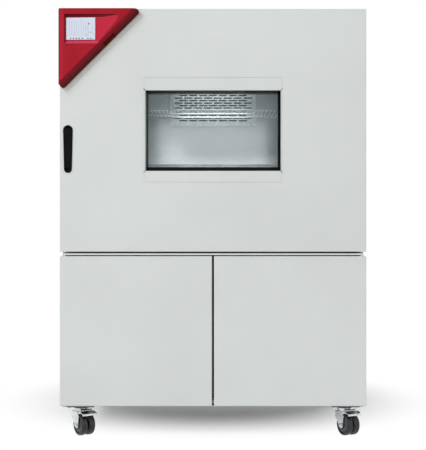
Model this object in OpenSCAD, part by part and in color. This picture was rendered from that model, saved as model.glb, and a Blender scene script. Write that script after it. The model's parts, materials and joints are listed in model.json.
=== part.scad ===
// Free-standing climate chamber: a heated and cooled test space behind a windowed door,
// over a machine compartment with two service doors, on four twin-wheel castors.
// The front faces -Y, X runs to the right and Z runs up from the floor.

/* [Casing] */
// Width over the chamber door and the pair of service doors
door_w = 1135; // [1125:5:1145]
// Depth from the door face to the rear panel
body_d = 875; // [865:5:900]
// Set-back of the casing side behind the door edge
side_inset = 9; // [8:1:10]
// Thickness of the casing sheets
sheet_t = 2; // [1.5:0.5:2.5]
// Width of the folded flanges on the casing sheets
flange_w = 18; // [14:1:22]
// Bend radius on the front edges of the doors
bend_r = 3; // [2.5:0.5:4]
// Drop of the roof below the top edge of the door
roof_drop = 5; // [4:1:6]
// Height of the base frame rails
rail_h = 30; // [26:1:32]
// Width of the base frame rails
rail_w = 45; // [40:1:50]
// Wall of the base frame rails
rail_t = 3; // [2.5:0.5:4]
// Free height of the slit between the deck and the chamber door
deck_gap = 6; // [6:0.5:8]
// Height of the front edge of the machine deck
deck_edge = 6.5; // [6:0.5:7]
// Free height of the slit between the service doors and the deck
deck_slit = 4; // [4:0.5:6]
// Set-back of the deck edge behind the door face
deck_setback = 5.5; // [5:0.5:7]
// Length of the wall spacers on the rear panel
spacer_l = 34; // [30:1:40]

/* [Chamber] */
// Distance from the side edges of the door to the side walls of the chamber
wall_margin = 267.5; // [262.5:0.5:270]
// Drop of the chamber ceiling below the top edge of the door
ceiling_drop = 150; // [146:1:156]
// Height of the chamber floor above the bottom edge of the door
sill_lift = 266; // [262:1:270]
// Distance from the rear baffle to the rear panel
rear_room = 414; // [405:1:420]
// Corner radius of the chamber
cavity_r = 20; // [12:1:24]
// Depth of the air duct behind the baffle
plenum_d = 126; // [122:1:135]
// Sheet thickness of the stainless liner, baffle and grille
liner_t = 1.5; // [1:0.5:2]
// Thickness of the insulation round the liner
insul_t = 100; // [90:5:105]
// Width of the slotted intake grille
grille_w = 355; // [350:1:370]
// Drop of the grille below the chamber ceiling
grille_drop = 12; // [8:1:14]
// Height of the slotted intake grille
grille_h = 232; // [226:1:236]
// Distance that the grille stands off the baffle
grille_proud = 12; // [10:1:14]
// Width of the bridge between two air slots
slot_bridge = 6.9; // [5:0.1:9]
// Height of one air slot
slot_h = 5; // [4:0.5:6]
// Distance between slots in a row
slot_pitch = 40.6; // [40:0.1:40.8]
// Distance between rows of slots
row_pitch = 10.3; // [9.5:0.1:11]
// Inside diameter of the access port
port_d = 50; // [40:2:60]

/* [Circulation] */
// Clearance between the impeller and the chamber ceiling
fan_clear = 24; // [22:1:28]
// Diameter of the intake hole in the baffle
intake_d = 170; // [150:2:180]
// Diameter of the radial impeller
impeller_d = 190; // [170:2:196]
// Width of the radial impeller
impeller_w = 52; // [44:1:56]
// Number of blades on the radial impeller
impeller_n = 12; // [8:1:16]
// Diameter of the fan shaft
shaft_d = 16; // [14:1:18]

/* [Shelves] */
// Height of the lowest shelf position over the chamber floor
shelf_lift = 60; // [55:1:66]
// Drop of the highest shelf position below the chamber ceiling
shelf_drop = 141.8; // [138:0.1:146]
// Number of shelf positions
shelf_positions = 5; // [4:1:5]
// Position of the upper shelf, counted from the lowest
upper_position = 3; // [1:1:3]
// Diameter of the frame wire of a shelf
frame_wire = 6; // [5:0.5:7]
// Diameter of the thin wires of a shelf
mesh_wire = 3; // [2.5:0.5:3.5]
// Distance between the thin wires
wire_pitch = 15; // [12:0.5:20]
// Set-back of the shelves behind the chamber mouth
shelf_setback = 37; // [33:1:44]

/* [Chamber door] */
// Height of the chamber door
door_h = 899; // [890:1:910]
// Thickness of the chamber door
door_t = 96; // [94:1:100]
// Gap between the door and the casing, which the seal fills
seal_gap = 14; // [13:0.5:15]
// Depth of the door plug behind the door
plug_d = 24; // [20:1:25]
// Clearance between the door plug and the chamber mouth
plug_clear = 12; // [10:1:14]
// Running clearance of the door seal at the chamber mouth
seal_clear = 0.3; // [0.2:0.1:0.5]
// Distance of the door hinge axis from the door edge
hinge_inset = 24.5; // [24:0.5:26]
// Distance of the door hinge axis behind the door face
hinge_setback = 47.5; // [46:0.5:49]
// Diameter of the door hinge bushes
hinge_d = 20; // [18:1:22]
// Thickness of the upper door hinge bracket
hinge_t = 6; // [5:0.5:6]

/* [Window] */
// Distance from the side edges of the door to the painted surround
surround_margin = 313.1; // [310:0.1:316]
// Drop of the surround's top edge below the top edge of the door
surround_drop = 255; // [251:1:259]
// Height of the surround's bottom edge above the chamber door's bottom edge
surround_lift = 258; // [255:1:262]
// Height of the strip under the window opening
strip_bottom = 41.2; // [38:0.1:44]
// Height of the strip over the window opening
strip_top = 46; // [42:0.5:50]
// Width of the surround beside the window opening
strip_side = 3.2; // [3:0.1:4]
// Gap between the surround and the door skin
seam = 0.8; // [0.5:0.1:1]
// Depth of the outer pane behind the door face
reveal_d = 58; // [50:1:60]
// Thickness of each pane
pane_t = 4; // [3:0.5:5]

/* [Control console] */
// Length of the two straight edges of the triangular console
console_leg = 290; // [280:1:300]
// Distance of the console inside the left and top edges of the door
console_inset = 4; // [2:0.5:6]
// Distance that the console stands proud of the door
console_proud = 34; // [30:1:38]
// Width of the chamfer along the sloping edge
console_chamfer = 15; // [12:0.5:18]
// Radius of the console's two tips
console_tip_r = 10; // [8:1:14]
// Width of the touch screen
screen_w = 108; // [103:1:112]
// Height of the touch screen
screen_h = 82; // [78:1:84]
// Greatest depth of the recess round the screen
recess_d = 10; // [8:0.5:12]
// Height of the sloping ledge under the screen
ledge_h = 8; // [6:0.5:10]

/* [Handle and latch] */
// Overall height of the handle
handle_h = 176.5; // [170:0.5:182]
// Width of the handle at its top
handle_w_top = 35.5; // [34:0.5:38]
// Width of the handle at its bottom
handle_w_bottom = 29; // [27:0.5:31]
// Distance of the handle's centre line from the door edge
handle_inset = 30.8; // [29:0.1:33]
// Drop of the handle's top edge below the top edge of the door
handle_drop = 430.7; // [425:0.1:436]
// Depth of the handle cup
cup_d = 27; // [25:1:30]
// Thickness of the lever's front plate
lever_t = 6; // [5:0.5:6]

/* [Service doors] */
// Height of the bottom edge of the service doors above the floor
service_z = 114.5; // [114:0.5:116]
// Height of a service door
service_h = 555; // [550:1:555]
// Depth of the service door pans
service_d = 20; // [18:1:20]
// Width of the slit between the two service doors
service_slit = 7.4; // [6:0.2:9]
// Gap between the service doors and the cabinet behind them
service_gap = 13.5; // [13:0.5:15]
// Diameter of the service door hinge pins
service_pin_d = 8; // [7:0.5:9]

/* [Castors] */
// Height of a castor
caster_h = 110; // [108:1:110]
// Diameter of a castor wheel
wheel_d = 80; // [78:1:82]
// Width of one of the two wheels of a castor
wheel_w = 25; // [22:1:25]
// Slit between the two wheels
wheel_slit = 5; // [4:1:6]
// Distance of the axle from the swivel axis
trail = 24; // [22:1:26]
// Diameter of the castor axle
axle_d = 8; // [7:0.5:10]
// Thickness of the fork legs
fork_t = 3; // [2.5:0.5:3.5]
// Distance of the swivel axes inside the casing's sides
caster_inset = 63.5; // [60:0.5:70]
// Distance of the front swivel axes behind the door face
caster_setback = 67.5; // [66:0.5:70]
// Swivel angle of the castors on the left
swing_left = 34; // [0:1:40]
// Swivel angle of the castors on the right
swing_right = 27; // [0:1:40]

/* [Machine compartment] */
// Diameter of the hermetic compressor
compressor_d = 170; // [160:5:180]
// Height of the hermetic compressor
compressor_h = 250; // [230:5:270]
// Width of the condenser
condenser_w = 360; // [340:5:380]
// Height of the condenser
condenser_h = 340; // [320:5:360]
// Diameter of the condenser fan
condenser_fan_d = 250; // [220:5:280]
// Number of blades on the condenser fan
condenser_fan_n = 6; // [4:1:7]
// Width of the grille in the rear panel
vent_w = 420; // [400:5:440]
// Height of the grille in the rear panel
vent_h = 380; // [360:5:400]
// Distance between louvres
louvre_pitch = 19; // [17:0.5:24]
// Outer diameter of the threaded water connections
water_d = 26.4; // [20:0.1:33]
// Length of the threaded water connections
water_l = 16; // [12:1:20]

/* [Hidden] */

$fn = 48;
eps = 1;
fit = 0.05;
slip = 0.3;

// Paint and metal colours
paint = [0.85, 0.86, 0.85];
steel = [0.78, 0.80, 0.81];
zinc = [0.72, 0.74, 0.76];
black = [0.07, 0.07, 0.07];
red = [0.69, 0.12, 0.18];
copper = [0.72, 0.43, 0.26];
foam = [0.93, 0.90, 0.78];
seal_colour = [0.25, 0.26, 0.27];

// Planes of the casing
half_w = door_w / 2;
side_x = half_w - side_inset;
inner_x = side_x - sheet_t;
face_y = -(console_proud + body_d + spacer_l) / 2 + console_proud;
rear_y = face_y + body_d;
door_z = service_z + service_h + deck_slit + deck_edge + deck_gap;
total_h = door_z + door_h;
roof_z = total_h - roof_drop;
collar_y = face_y + door_t + seal_gap;
cabinet_y = face_y + service_d + service_gap;
floor_z = caster_h + rail_h;
deck_z = door_z - deck_gap;
deck_y = face_y + deck_setback;
web_y = rear_y - sheet_t;

// Planes of the chamber
cavity_w = door_w - 2 * wall_margin;
cavity_h = door_h - sill_lift - ceiling_drop;
cavity_d = body_d - door_t - seal_gap - rear_room;
cavity_z = door_z + sill_lift;
ceiling_z = cavity_z + cavity_h;
mouth_z = cavity_z + cavity_h / 2;
baffle_y = collar_y + cavity_d;
duct_y = baffle_y + plenum_d;
liner_back_y = duct_y + liner_t;
insul_y = liner_back_y + insul_t;
insul_z = cavity_z - liner_t - insul_t;
fan_z = ceiling_z - impeller_d / 2 - fan_clear;
heater_r = impeller_d / 2 + 14;
grille_z = ceiling_z - grille_drop - grille_h;
slot_l = slot_pitch - slot_bridge;
slot_rows = floor((grille_h - 25) / row_pitch);
slots_wide = floor((grille_w - 28) / slot_pitch);
shelf_pitch = (cavity_h - shelf_lift - shelf_drop) / (shelf_positions - 1);
port_y = collar_y + cavity_d / 2;
port_z = mouth_z;
port_wall = 4;

// Planes of the chamber door
door_back_y = face_y + door_t;
plug_y = door_back_y + plug_d;
hinge_x = half_w - hinge_inset;
hinge_y = face_y + hinge_setback;
notch_depth = roof_drop + hinge_t + 1;
notch_z = total_h - notch_depth;
notch_x = hinge_x - 16;
notch_y = hinge_y - 28;
leg_t = 4;
hinge_block = 40;
hinge_block_w = 45;
surround_z = door_z + surround_lift;
surround_w = door_w - 2 * surround_margin;
surround_h = door_h - surround_lift - surround_drop;
open_z0 = surround_z + strip_bottom;
open_z1 = surround_z + surround_h - strip_top;
open_x = surround_w / 2 - strip_side;
lip_side = 6;
lip_bottom = 7;
lip_top = 2;
glass_y = face_y + reveal_d;
pane_ys = [glass_y, plug_y - pane_t - 5];

// Planes of the handle and the latch
handle_x = -half_w + handle_inset;
handle_z = total_h - handle_drop - handle_h;
rim = 3;
cup_t = 2;
lever_gap = 1.2;
rim_proud = 2;
pivot_z = handle_z + handle_h - 14.5;
pivot_y = face_y + 1;
pivot_d = 5;
latch_x = handle_x + 20;
latch_w = 26;
latch_h = 40;
latch_z = handle_z + 88;
latch_stroke = 8;
latch_y0 = face_y + cup_d + 6;
latch_y1 = door_back_y - 8;
nose_t = 7;
nose_y = collar_y + 8;
nose_reach = 8;
neck_w = 14;
neck_h = 16;

// Planes of the service doors
service_x0 = service_slit / 2;
service_axis_x = inner_x - service_pin_d / 2 - 1;
service_axis_y = face_y + service_d / 2;
lug_t = deck_slit - 2 * slip;
pin_l = 12;

// Castor heights
axle_z = wheel_d / 2;
plate_t = 4;
plate_w = 104;
plate_l = 84;
pedal_y = -trail - 13;
pedal_z = wheel_d + 12;
race_h = 9;
crown_z = wheel_d + 6;
fork_gap = 2 * wheel_w + wheel_slit + 4;
caster_x = side_x - caster_inset;
front_caster_y = face_y + caster_setback;
rear_caster_y = rear_y - caster_setback;

// A box between two corners
module slab(x0, x1, y0, y1, z0, z1) {
    translate([x0, y0, z0]) cube([x1 - x0, y1 - y0, z1 - z0]);
}

// A flat outline in X and Z, extruded from y0 to y1
module extrude_y(y0, y1) {
    translate([0, y1, 0]) rotate([90, 0, 0]) linear_extrude(y1 - y0) children();
}

// A flat outline in Y and Z, extruded from x0 to x1
module extrude_x(x0, x1) {
    translate([x0, 0, 0]) rotate([90, 0, 90]) linear_extrude(x1 - x0) children();
}

// A rod along Y
module rod_y(x, z, y0, y1, r) {
    translate([x, y1, z]) rotate([90, 0, 0]) cylinder(h = y1 - y0, r = r);
}

// A rod along X
module rod_x(y, z, x0, x1, r) {
    translate([x0, y, z]) rotate([0, 90, 0]) cylinder(h = x1 - x0, r = r);
}

// Rectangle centred on the origin with round corners
module round_rect(w, h, r) {
    square([w - 2 * r, h], center = true);
    square([w, h - 2 * r], center = true);
    for (sx = [-1, 1], sz = [-1, 1]) {
        translate([sx * (w / 2 - r), sz * (h / 2 - r)]) circle(r = r);
    }
}

// The chamber's own outline, grown on every side
module cavity_outline(grow) {
    translate([0, mouth_z]) {
        round_rect(cavity_w + 2 * grow, cavity_h + 2 * grow, cavity_r + max(grow, 0));
    }
}

// Points of a slot with a large round end at the top and a smaller one at the bottom
function taper_points(top, r_top, bottom, r_bottom, n = 16) =
    let (lean = asin((r_top - r_bottom) / (top - bottom)))
    concat(
        [for (i = [0:n]) let (a = -lean + i * (180 + 2 * lean) / n)
            [r_top * cos(a), top + r_top * sin(a)]],
        [for (i = [0:n]) let (a = 180 + lean + i * (180 - 2 * lean) / n)
            [r_bottom * cos(a), bottom + r_bottom * sin(a)]]);

// The handle's outline, shrunk on every side
module handle_outline(shrink) {
    r_top = handle_w_top / 2;
    r_bottom = handle_w_bottom / 2;
    translate([handle_x, handle_z]) {
        polygon(taper_points(handle_h - r_top, r_top - shrink, r_bottom, r_bottom - shrink));
    }
}

// Pipe through a list of points, with a ball at each bend
module pipe(points, r) {
    for (i = [0 : len(points) - 2]) {
        a = points[i];
        d = points[i + 1] - a;
        run = norm(d);
        translate(a) rotate([0, acos(d[2] / run), atan2(d[1], d[0])]) cylinder(h = run, r = r, $fn = 24);
    }
    for (i = [1 : len(points) - 2]) {
        translate(points[i]) sphere(r = r, $fn = 24);
    }
}

// Base frame: four welded channel rails, two cross rails and the floor tray
module channel_rail_x(y0, y1, x0, x1) {
    difference() {
        slab(x0, x1, y0, y1, caster_h, floor_z);
        slab(x0 + rail_t, x1 - rail_t, y0 + rail_t, y1 - rail_t, caster_h - eps, floor_z - rail_t);
    }
}

module base_frame() {
    color(paint) {
        channel_rail_x(cabinet_y, cabinet_y + rail_w, -side_x, side_x);
        channel_rail_x(web_y - rail_w, web_y, -side_x, side_x);
        for (x = [-side_x, side_x - rail_w]) {
            channel_rail_x(cabinet_y + rail_w, web_y - rail_w, x, x + rail_w);
        }
        for (s = [-1, 1]) {
            caster_pad(s * caster_x, front_caster_y);
            caster_pad(s * caster_x, rear_caster_y);
        }
        floor_tray();
    }
}

// Reinforcing pad inside the rails over each castor
module caster_pad(x, y) {
    front = y < 0;
    left = x < 0;
    x0 = left ? -side_x + rail_w : x - 45;
    x1 = left ? x + 45 : side_x - rail_w;
    y0 = front ? cabinet_y + rail_w : y - 45;
    y1 = front ? y + 45 : web_y - rail_w;
    slab(x0, x1, y0, y1, caster_h, caster_h + rail_t);
}

module floor_tray() {
    difference() {
        slab(-inner_x, inner_x, cabinet_y + sheet_t, web_y, floor_z, floor_z + flange_w);
        slab(-inner_x + sheet_t, inner_x - sheet_t, cabinet_y + 2 * sheet_t,
            web_y - sheet_t, floor_z + sheet_t, floor_z + flange_w + eps);
    }
}

// Side panel: one stepped sheet with folded flanges on its front edges
module side_outline() {
    polygon([[cabinet_y, floor_z], [web_y, floor_z], [web_y, roof_z - sheet_t],
        [collar_y, roof_z - sheet_t], [collar_y, deck_z], [cabinet_y, deck_z]]);
}

module side_panel(side) {
    x0 = side < 0 ? -side_x : inner_x;
    in0 = side < 0 ? -inner_x : inner_x - flange_w;
    extrude_x(x0, x0 + sheet_t) side_outline();
    slab(in0, in0 + flange_w, collar_y + sheet_t, collar_y + 2 * sheet_t,
        deck_z, roof_z - sheet_t - flange_w);
    slab(in0, in0 + flange_w, cabinet_y, cabinet_y + sheet_t, floor_z, deck_z - sheet_t);
}

module side_panel_left() {
    color(paint) difference() {
        side_panel(-1);
        rod_x(port_y, port_z, -side_x - eps, -inner_x + eps, port_d / 2 + port_wall);
    }
}

switch_y = cabinet_y + 110;
switch_z = deck_z - 90;
switch_w = 22;
switch_h = 34;

module side_panel_right() {
    color(paint) difference() {
        side_panel(1);
        slab(inner_x - eps, side_x + eps, switch_y - switch_w / 2, switch_y + switch_w / 2,
            switch_z - switch_h / 2, switch_z + switch_h / 2);
    }
}

// Roof: flat sheet with flanges folded down inside the side panels
module roof_panel() {
    color(paint) {
        slab(-side_x, side_x, collar_y, rear_y, roof_z - sheet_t, roof_z);
        for (x = [-inner_x, inner_x - sheet_t]) {
            slab(x, x + sheet_t, collar_y + 2 * sheet_t, web_y, roof_z - sheet_t - flange_w, roof_z - sheet_t);
        }
    }
}

vent_x = 408.5 - side_x;
vent_z = floor_z + 40;
conn_x = side_x - 228.5;
conn_z = floor_z + 120;
conn_pitch = 70;
gland_z = floor_z + 300;

// Rear panel with the cut-outs for the grille and the connections
module rear_panel() {
    color(paint) difference() {
        slab(-side_x, side_x, web_y, rear_y, floor_z, roof_z - sheet_t);
        slab(vent_x - vent_w / 2, vent_x + vent_w / 2, web_y - eps, rear_y + eps, vent_z, vent_z + vent_h);
        for (i = [0, 1]) {
            rod_y(conn_x + i * conn_pitch, conn_z, web_y - eps, rear_y + eps, water_d / 2 - 3);
        }
        rod_y(conn_x, gland_z, web_y - eps, rear_y + eps, 10);
    }
}

// Louvred grille that fills the opening in the rear panel
module rear_grille() {
    border = 14;
    blades = floor((vent_h - 2 * sheet_t) / louvre_pitch);
    margin = (vent_h - blades * louvre_pitch) / 2;
    color(paint) {
        difference() {
            slab(vent_x - vent_w / 2 - border, vent_x + vent_w / 2 + border, rear_y, rear_y + sheet_t,
                vent_z - border, vent_z + vent_h + border);
            slab(vent_x - vent_w / 2 + sheet_t, vent_x + vent_w / 2 - sheet_t, rear_y - eps, rear_y + sheet_t + eps,
                vent_z + sheet_t, vent_z + vent_h - sheet_t);
        }
        for (x = [vent_x - vent_w / 2 + sheet_t, vent_x + vent_w / 2 - 2 * sheet_t]) {
            slab(x, x + sheet_t, rear_y - 14, rear_y + sheet_t, vent_z + sheet_t, vent_z + vent_h - sheet_t);
        }
        for (i = [0 : blades - 1]) {
            translate([vent_x, rear_y - 6, vent_z + margin + (i + 0.5) * louvre_pitch]) rotate([-35, 0, 0])
                cube([vent_w - 4 * sheet_t + 1, 16, 1.5], center = true);
        }
    }
}

// Deck between the compartment and the chamber, with two bearers under the insulation
module machine_deck() {
    bearer_w = 60;
    bearer_x = 220;
    color(paint) {
        difference() {
            union() {
                slab(-inner_x, inner_x, cabinet_y, web_y, deck_z - sheet_t, deck_z);
                slab(-side_x, side_x, deck_y, cabinet_y, deck_z - deck_edge, deck_z);
            }
            slab(-inner_x, inner_x, deck_y + sheet_t, cabinet_y + eps,
                deck_z - deck_edge - eps, deck_z - sheet_t);
        }
        for (x = [-bearer_x - bearer_w / 2, bearer_x - bearer_w / 2]) {
            difference() {
                slab(x, x + bearer_w, collar_y + flange_w, insul_y, deck_z, insul_z);
                slab(x + sheet_t, x + bearer_w - sheet_t, collar_y + flange_w - eps, insul_y + eps,
                    deck_z - eps, insul_z - sheet_t);
            }
        }
    }
}

// Front collar: the painted sheet round the chamber mouth
keeper_w = 54;
keeper_h = 34;
keeper_t = 2;
keeper_x = latch_x + 8;

module front_collar() {
    color(paint) difference() {
        slab(-inner_x, inner_x, collar_y, collar_y + sheet_t, deck_z, roof_z - sheet_t);
        extrude_y(collar_y - eps, collar_y + sheet_t + eps) cavity_outline(liner_t);
        slab(keeper_x - keeper_w / 2, keeper_x + keeper_w / 2, collar_y - eps, collar_y + sheet_t + eps,
            latch_z - keeper_h / 2, latch_z + keeper_h / 2);
    }
}

// Stainless liner: a deep drawn box, open at the front
module chamber_liner() {
    color(steel) difference() {
        extrude_y(collar_y, liner_back_y) cavity_outline(liner_t);
        extrude_y(collar_y - eps, duct_y) cavity_outline(0);
        rod_y(0, fan_z, duct_y - eps, liner_back_y + eps, shaft_d / 2 + 2);
        rod_x(port_y, port_z, -cavity_w / 2 - liner_t - eps, -cavity_w / 2 + eps, port_d / 2 + port_wall);
    }
}

// Foam insulation round the liner
module insulation() {
    color(foam) difference() {
        slab(-cavity_w / 2 - liner_t - insul_t, cavity_w / 2 + liner_t + insul_t,
            collar_y + sheet_t, insul_y, insul_z, cavity_z + cavity_h + liner_t + insul_t);
        extrude_y(collar_y + sheet_t - eps, liner_back_y) cavity_outline(liner_t);
        rod_y(0, fan_z, liner_back_y - eps, insul_y + eps, shaft_d / 2 + 2);
        rod_x(port_y, port_z, -cavity_w / 2 - liner_t - insul_t - eps, -cavity_w / 2, port_d / 2 + port_wall);
    }
}

// Baffle between the chamber and the air duct, with the fan intake and two columns of outlets
module baffle_plate() {
    outlet_h = 40;
    outlet_w = 10;
    outlet_x = cavity_w / 2 - 16;
    outlet_pitch = 53;
    first_z = cavity_z + 34;
    outlets = floor((cavity_h - 50) / outlet_pitch);
    color(steel) difference() {
        extrude_y(baffle_y, baffle_y + liner_t) cavity_outline(0);
        rod_y(0, fan_z, baffle_y - eps, baffle_y + liner_t + eps, intake_d / 2);
        for (s = [-1, 1], i = [0 : outlets - 1]) {
            slab(s * outlet_x - outlet_w / 2, s * outlet_x + outlet_w / 2, baffle_y - eps, baffle_y + liner_t + eps,
                first_z + i * outlet_pitch, first_z + i * outlet_pitch + outlet_h);
        }
    }
    color(steel) difference() {
        rod_y(0, fan_z, baffle_y + liner_t, baffle_y + liner_t + 7, intake_d / 2 + liner_t);
        rod_y(0, fan_z, baffle_y, baffle_y + liner_t + 8, intake_d / 2);
    }
    color(steel) climate_sensors();
}

// Temperature and humidity probes that stand out of the baffle
module climate_sensors() {
    for (i = [0, 1]) {
        x = cavity_w / 2 - 85 + i * 26;
        z = ceiling_z - 60;
        rod_y(x, z, baffle_y - 5, baffle_y, 8);
        rod_y(x, z, baffle_y - 55, baffle_y - 5, 3 + i);
        rod_y(x, z, baffle_y - 80, baffle_y - 55, 4 + 2 * i);
    }
}

// Outline of one air slot with bevelled ends
function slot_points(x, z) = let (a = slot_l / 2, b = slot_h / 2, c = slot_h / 3)
    [[x - a + c, z - b], [x + a - c, z - b], [x + a, z - b + c], [x + a, z + b - c],
        [x + a - c, z + b], [x - a + c, z + b], [x - a, z + b - c], [x - a, z - b + c]];

// Slotted intake grille: a shallow pan with rows of slots in brick bond
module intake_grille() {
    z0 = grille_z;
    first = 22;
    corners = [[-grille_w / 2, z0], [grille_w / 2, z0], [grille_w / 2, z0 + grille_h], [-grille_w / 2, z0 + grille_h]];
    slots = [for (row = [0 : slot_rows - 1]) let (n = slots_wide - 1 + row % 2)
        for (i = [0 : n - 1]) slot_points((i - (n - 1) / 2) * slot_pitch, z0 + first + row * row_pitch)];
    points = concat(corners, [for (s = slots) for (p = s) p]);
    paths = concat([[0, 1, 2, 3]], [for (k = [0 : len(slots) - 1]) [for (j = [0 : 7]) 4 + 8 * k + j]]);
    front_y = baffle_y - grille_proud;
    color(steel) {
        extrude_y(front_y, front_y + liner_t) polygon(points, paths);
        difference() {
            slab(-grille_w / 2, grille_w / 2, front_y + liner_t, baffle_y, z0, z0 + grille_h);
            slab(-grille_w / 2 + liner_t, grille_w / 2 - liner_t, front_y, baffle_y + eps,
                z0 + liner_t, z0 + grille_h - liner_t);
        }
    }
}

// Pan-head screws that hold the grille, the rear grille and the hinge bracket
module screw_y(x, y, z, r, dir) {
    translate([x, y, z]) rotate([dir * 90, 0, 0]) difference() {
        cylinder(h = r * 0.6, r1 = r, r2 = r * 0.75);
        translate([0, 0, r * 0.3]) cylinder(h = r, r = r * 0.35, $fn = 6);
    }
}

module fixing_screws() {
    grille_screw_x = grille_w / 2 - 21.5;
    front_y = baffle_y - grille_proud;
    color(zinc) {
        for (x = [-grille_screw_x, 0, grille_screw_x]) {
            screw_y(x, front_y, grille_z + 7, 3.5, 1);
        }
        for (x = [-1, 1], z = [-7, vent_h / 2, vent_h + 7]) {
            screw_y(vent_x + x * (vent_w / 2 + 7), rear_y + sheet_t, vent_z + z, 4, -1);
        }
        for (dx = [-10, 10], dz = [14, 34]) {
            screw_y(hinge_x + dx, collar_y - leg_t, roof_z - hinge_t - dz, 3.5, 1);
        }
    }
}

// Ring-shaped tubular heater round the impeller
module heater_coil() {
    tube_r = 4;
    color(zinc) for (k = [0, 1]) {
        y = baffle_y + 30 + k * 26;
        translate([0, y, fan_z]) rotate([90, 0, 0]) rotate_extrude() translate([heater_r, 0]) circle(r = tube_r);
        rod_y(heater_r * (k == 0 ? -1 : 1), fan_z, y, duct_y, tube_r - 0.5);
    }
}

// Finned coil: a comb of fins on a core, with return bends on one side
module finned_coil(w, h, d, pitch, rows) {
    fin_t = 1.5;
    n = floor(w / pitch);
    linear_extrude(h) {
        for (i = [0 : n]) {
            translate([i * (w - fin_t) / n, 0]) square([fin_t, d]);
        }
        translate([0, d / 2 - 6]) square([w, 12]);
    }
    for (k = [0 : rows - 1]) {
        translate([w, d / 2, (k + 0.5) * h / rows]) rotate([0, 90, 0]) rotate([90, 0, 0])
            rotate_extrude(angle = 180) translate([h / rows / 4, 0]) circle(r = 4, $fn = 24);
    }
}

module evaporator() {
    lift = 12;
    w = cavity_w - 160;
    h = fan_z - heater_r - cavity_z - 85;
    d = 76;
    y0 = duct_y - d - 12;
    z0 = cavity_z + lift;
    color(zinc) {
        translate([-w / 2, y0, z0]) finned_coil(w, h, d, 13, max(1, floor(h / 34)));
        for (x = [-w / 2 - 3, w / 2 - 1.5]) {
            slab(x, x + 4.5, y0, duct_y, cavity_z, z0 + h);
        }
    }
}

// Fan motor on the back of the insulation
module fan_motor() {
    motor_r = 65;
    color(zinc) difference() {
        union() {
            rod_y(0, fan_z, insul_y, insul_y + 8, motor_r + 20);
            rod_y(0, fan_z, insul_y + 8, insul_y + 110, motor_r);
            rod_y(0, fan_z, insul_y + 110, insul_y + 122, motor_r - 12);
            for (a = [0 : 30 : 330]) {
                translate([0, insul_y + 60, fan_z]) rotate([0, a, 0]) translate([motor_r, 0, 0]) cube([8, 90, 4], center = true);
            }
            slab(-26, 26, insul_y + 30, insul_y + 80, fan_z + motor_r - 10, fan_z + motor_r + 30);
        }
        rod_y(0, fan_z, insul_y - eps, insul_y + 70, shaft_d / 2 + fit);
    }
}

// Shelf rails: two uprights and a ladder of angle rails on each side wall
rail_reach = 12;
shelf_half = cavity_w / 2 - 3;

function shelf_z(position) = cavity_z + shelf_lift + position * shelf_pitch;

module shelf_rails() {
    y0 = collar_y + 30;
    y1 = baffle_y - 2;
    color(steel) for (s = [-1, 1]) {
        wall = s * cavity_w / 2;
        for (y = [y0 + 30, y1 - 42]) {
            slab(min(wall, wall - s * 1.5), max(wall, wall - s * 1.5), y, y + 12,
                cavity_z + cavity_r + 2, cavity_z + cavity_h - cavity_r - 2);
        }
        for (p = [0 : shelf_positions - 1]) {
            z = shelf_z(p);
            slab(min(wall - s * 1.5, wall - s * 3), max(wall - s * 1.5, wall - s * 3), y0, y1, z - 1.5, z + 8);
            slab(min(wall - s * 3, wall - s * (3 + rail_reach)), max(wall - s * 3, wall - s * (3 + rail_reach)),
                y0, y1, z - 1.5, z);
        }
    }
}

// Wire shelf: a frame of thick wire with closely spaced thin wires across it
module shelf(z) {
    r = frame_wire / 2;
    x1 = shelf_half - 1.5;
    y1 = baffle_y - grille_proud - 2;
    y0 = collar_y + shelf_setback;
    zc = z + slip + r;
    n = floor((2 * x1 - 2 * frame_wire) / wire_pitch);
    color(steel) {
        for (x = [-x1 + r, x1 - r]) {
            rod_y(x, zc, y0, y1, r, $fn = 8);
        }
        for (y = [y0 + r, (y0 + y1) / 2, y1 - r]) {
            rod_x(y, zc, -x1 + r, x1 - r, r, $fn = 8);
        }
        for (i = [-floor(n / 2) : floor(n / 2)]) {
            rod_y(i * wire_pitch, zc + r, y0 + 0.5, y1 - 0.5, mesh_wire / 2, $fn = 8);
        }
    }
}

module shelf_upper() { shelf(shelf_z(upper_position)); }
module shelf_lower() { shelf(shelf_z(0)); }

// Access port sleeve through the left side, and its silicone plug
module port_sleeve() {
    r = port_d / 2;
    color(steel) difference() {
        union() {
            rod_x(port_y, port_z, -side_x, -cavity_w / 2, r + port_wall);
            rod_x(port_y, port_z, -side_x - 2, -side_x, r + port_wall + 8);
        }
        rod_x(port_y, port_z, -side_x - 3, -cavity_w / 2 + eps, r);
    }
}

plug_len = 45;

module port_plug() {
    r = port_d / 2;
    color(seal_colour) {
        rod_x(port_y, port_z, -side_x - 2, -side_x - 2 + plug_len, r - slip);
        rod_x(port_y, port_z, -side_x - 6.5, -side_x - 2 - slip, r + 5);
        rod_x(port_y, port_z, -side_x - 2 - slip - 0.2, -side_x - 2 + 0.2, r - slip);
    }
}

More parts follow.
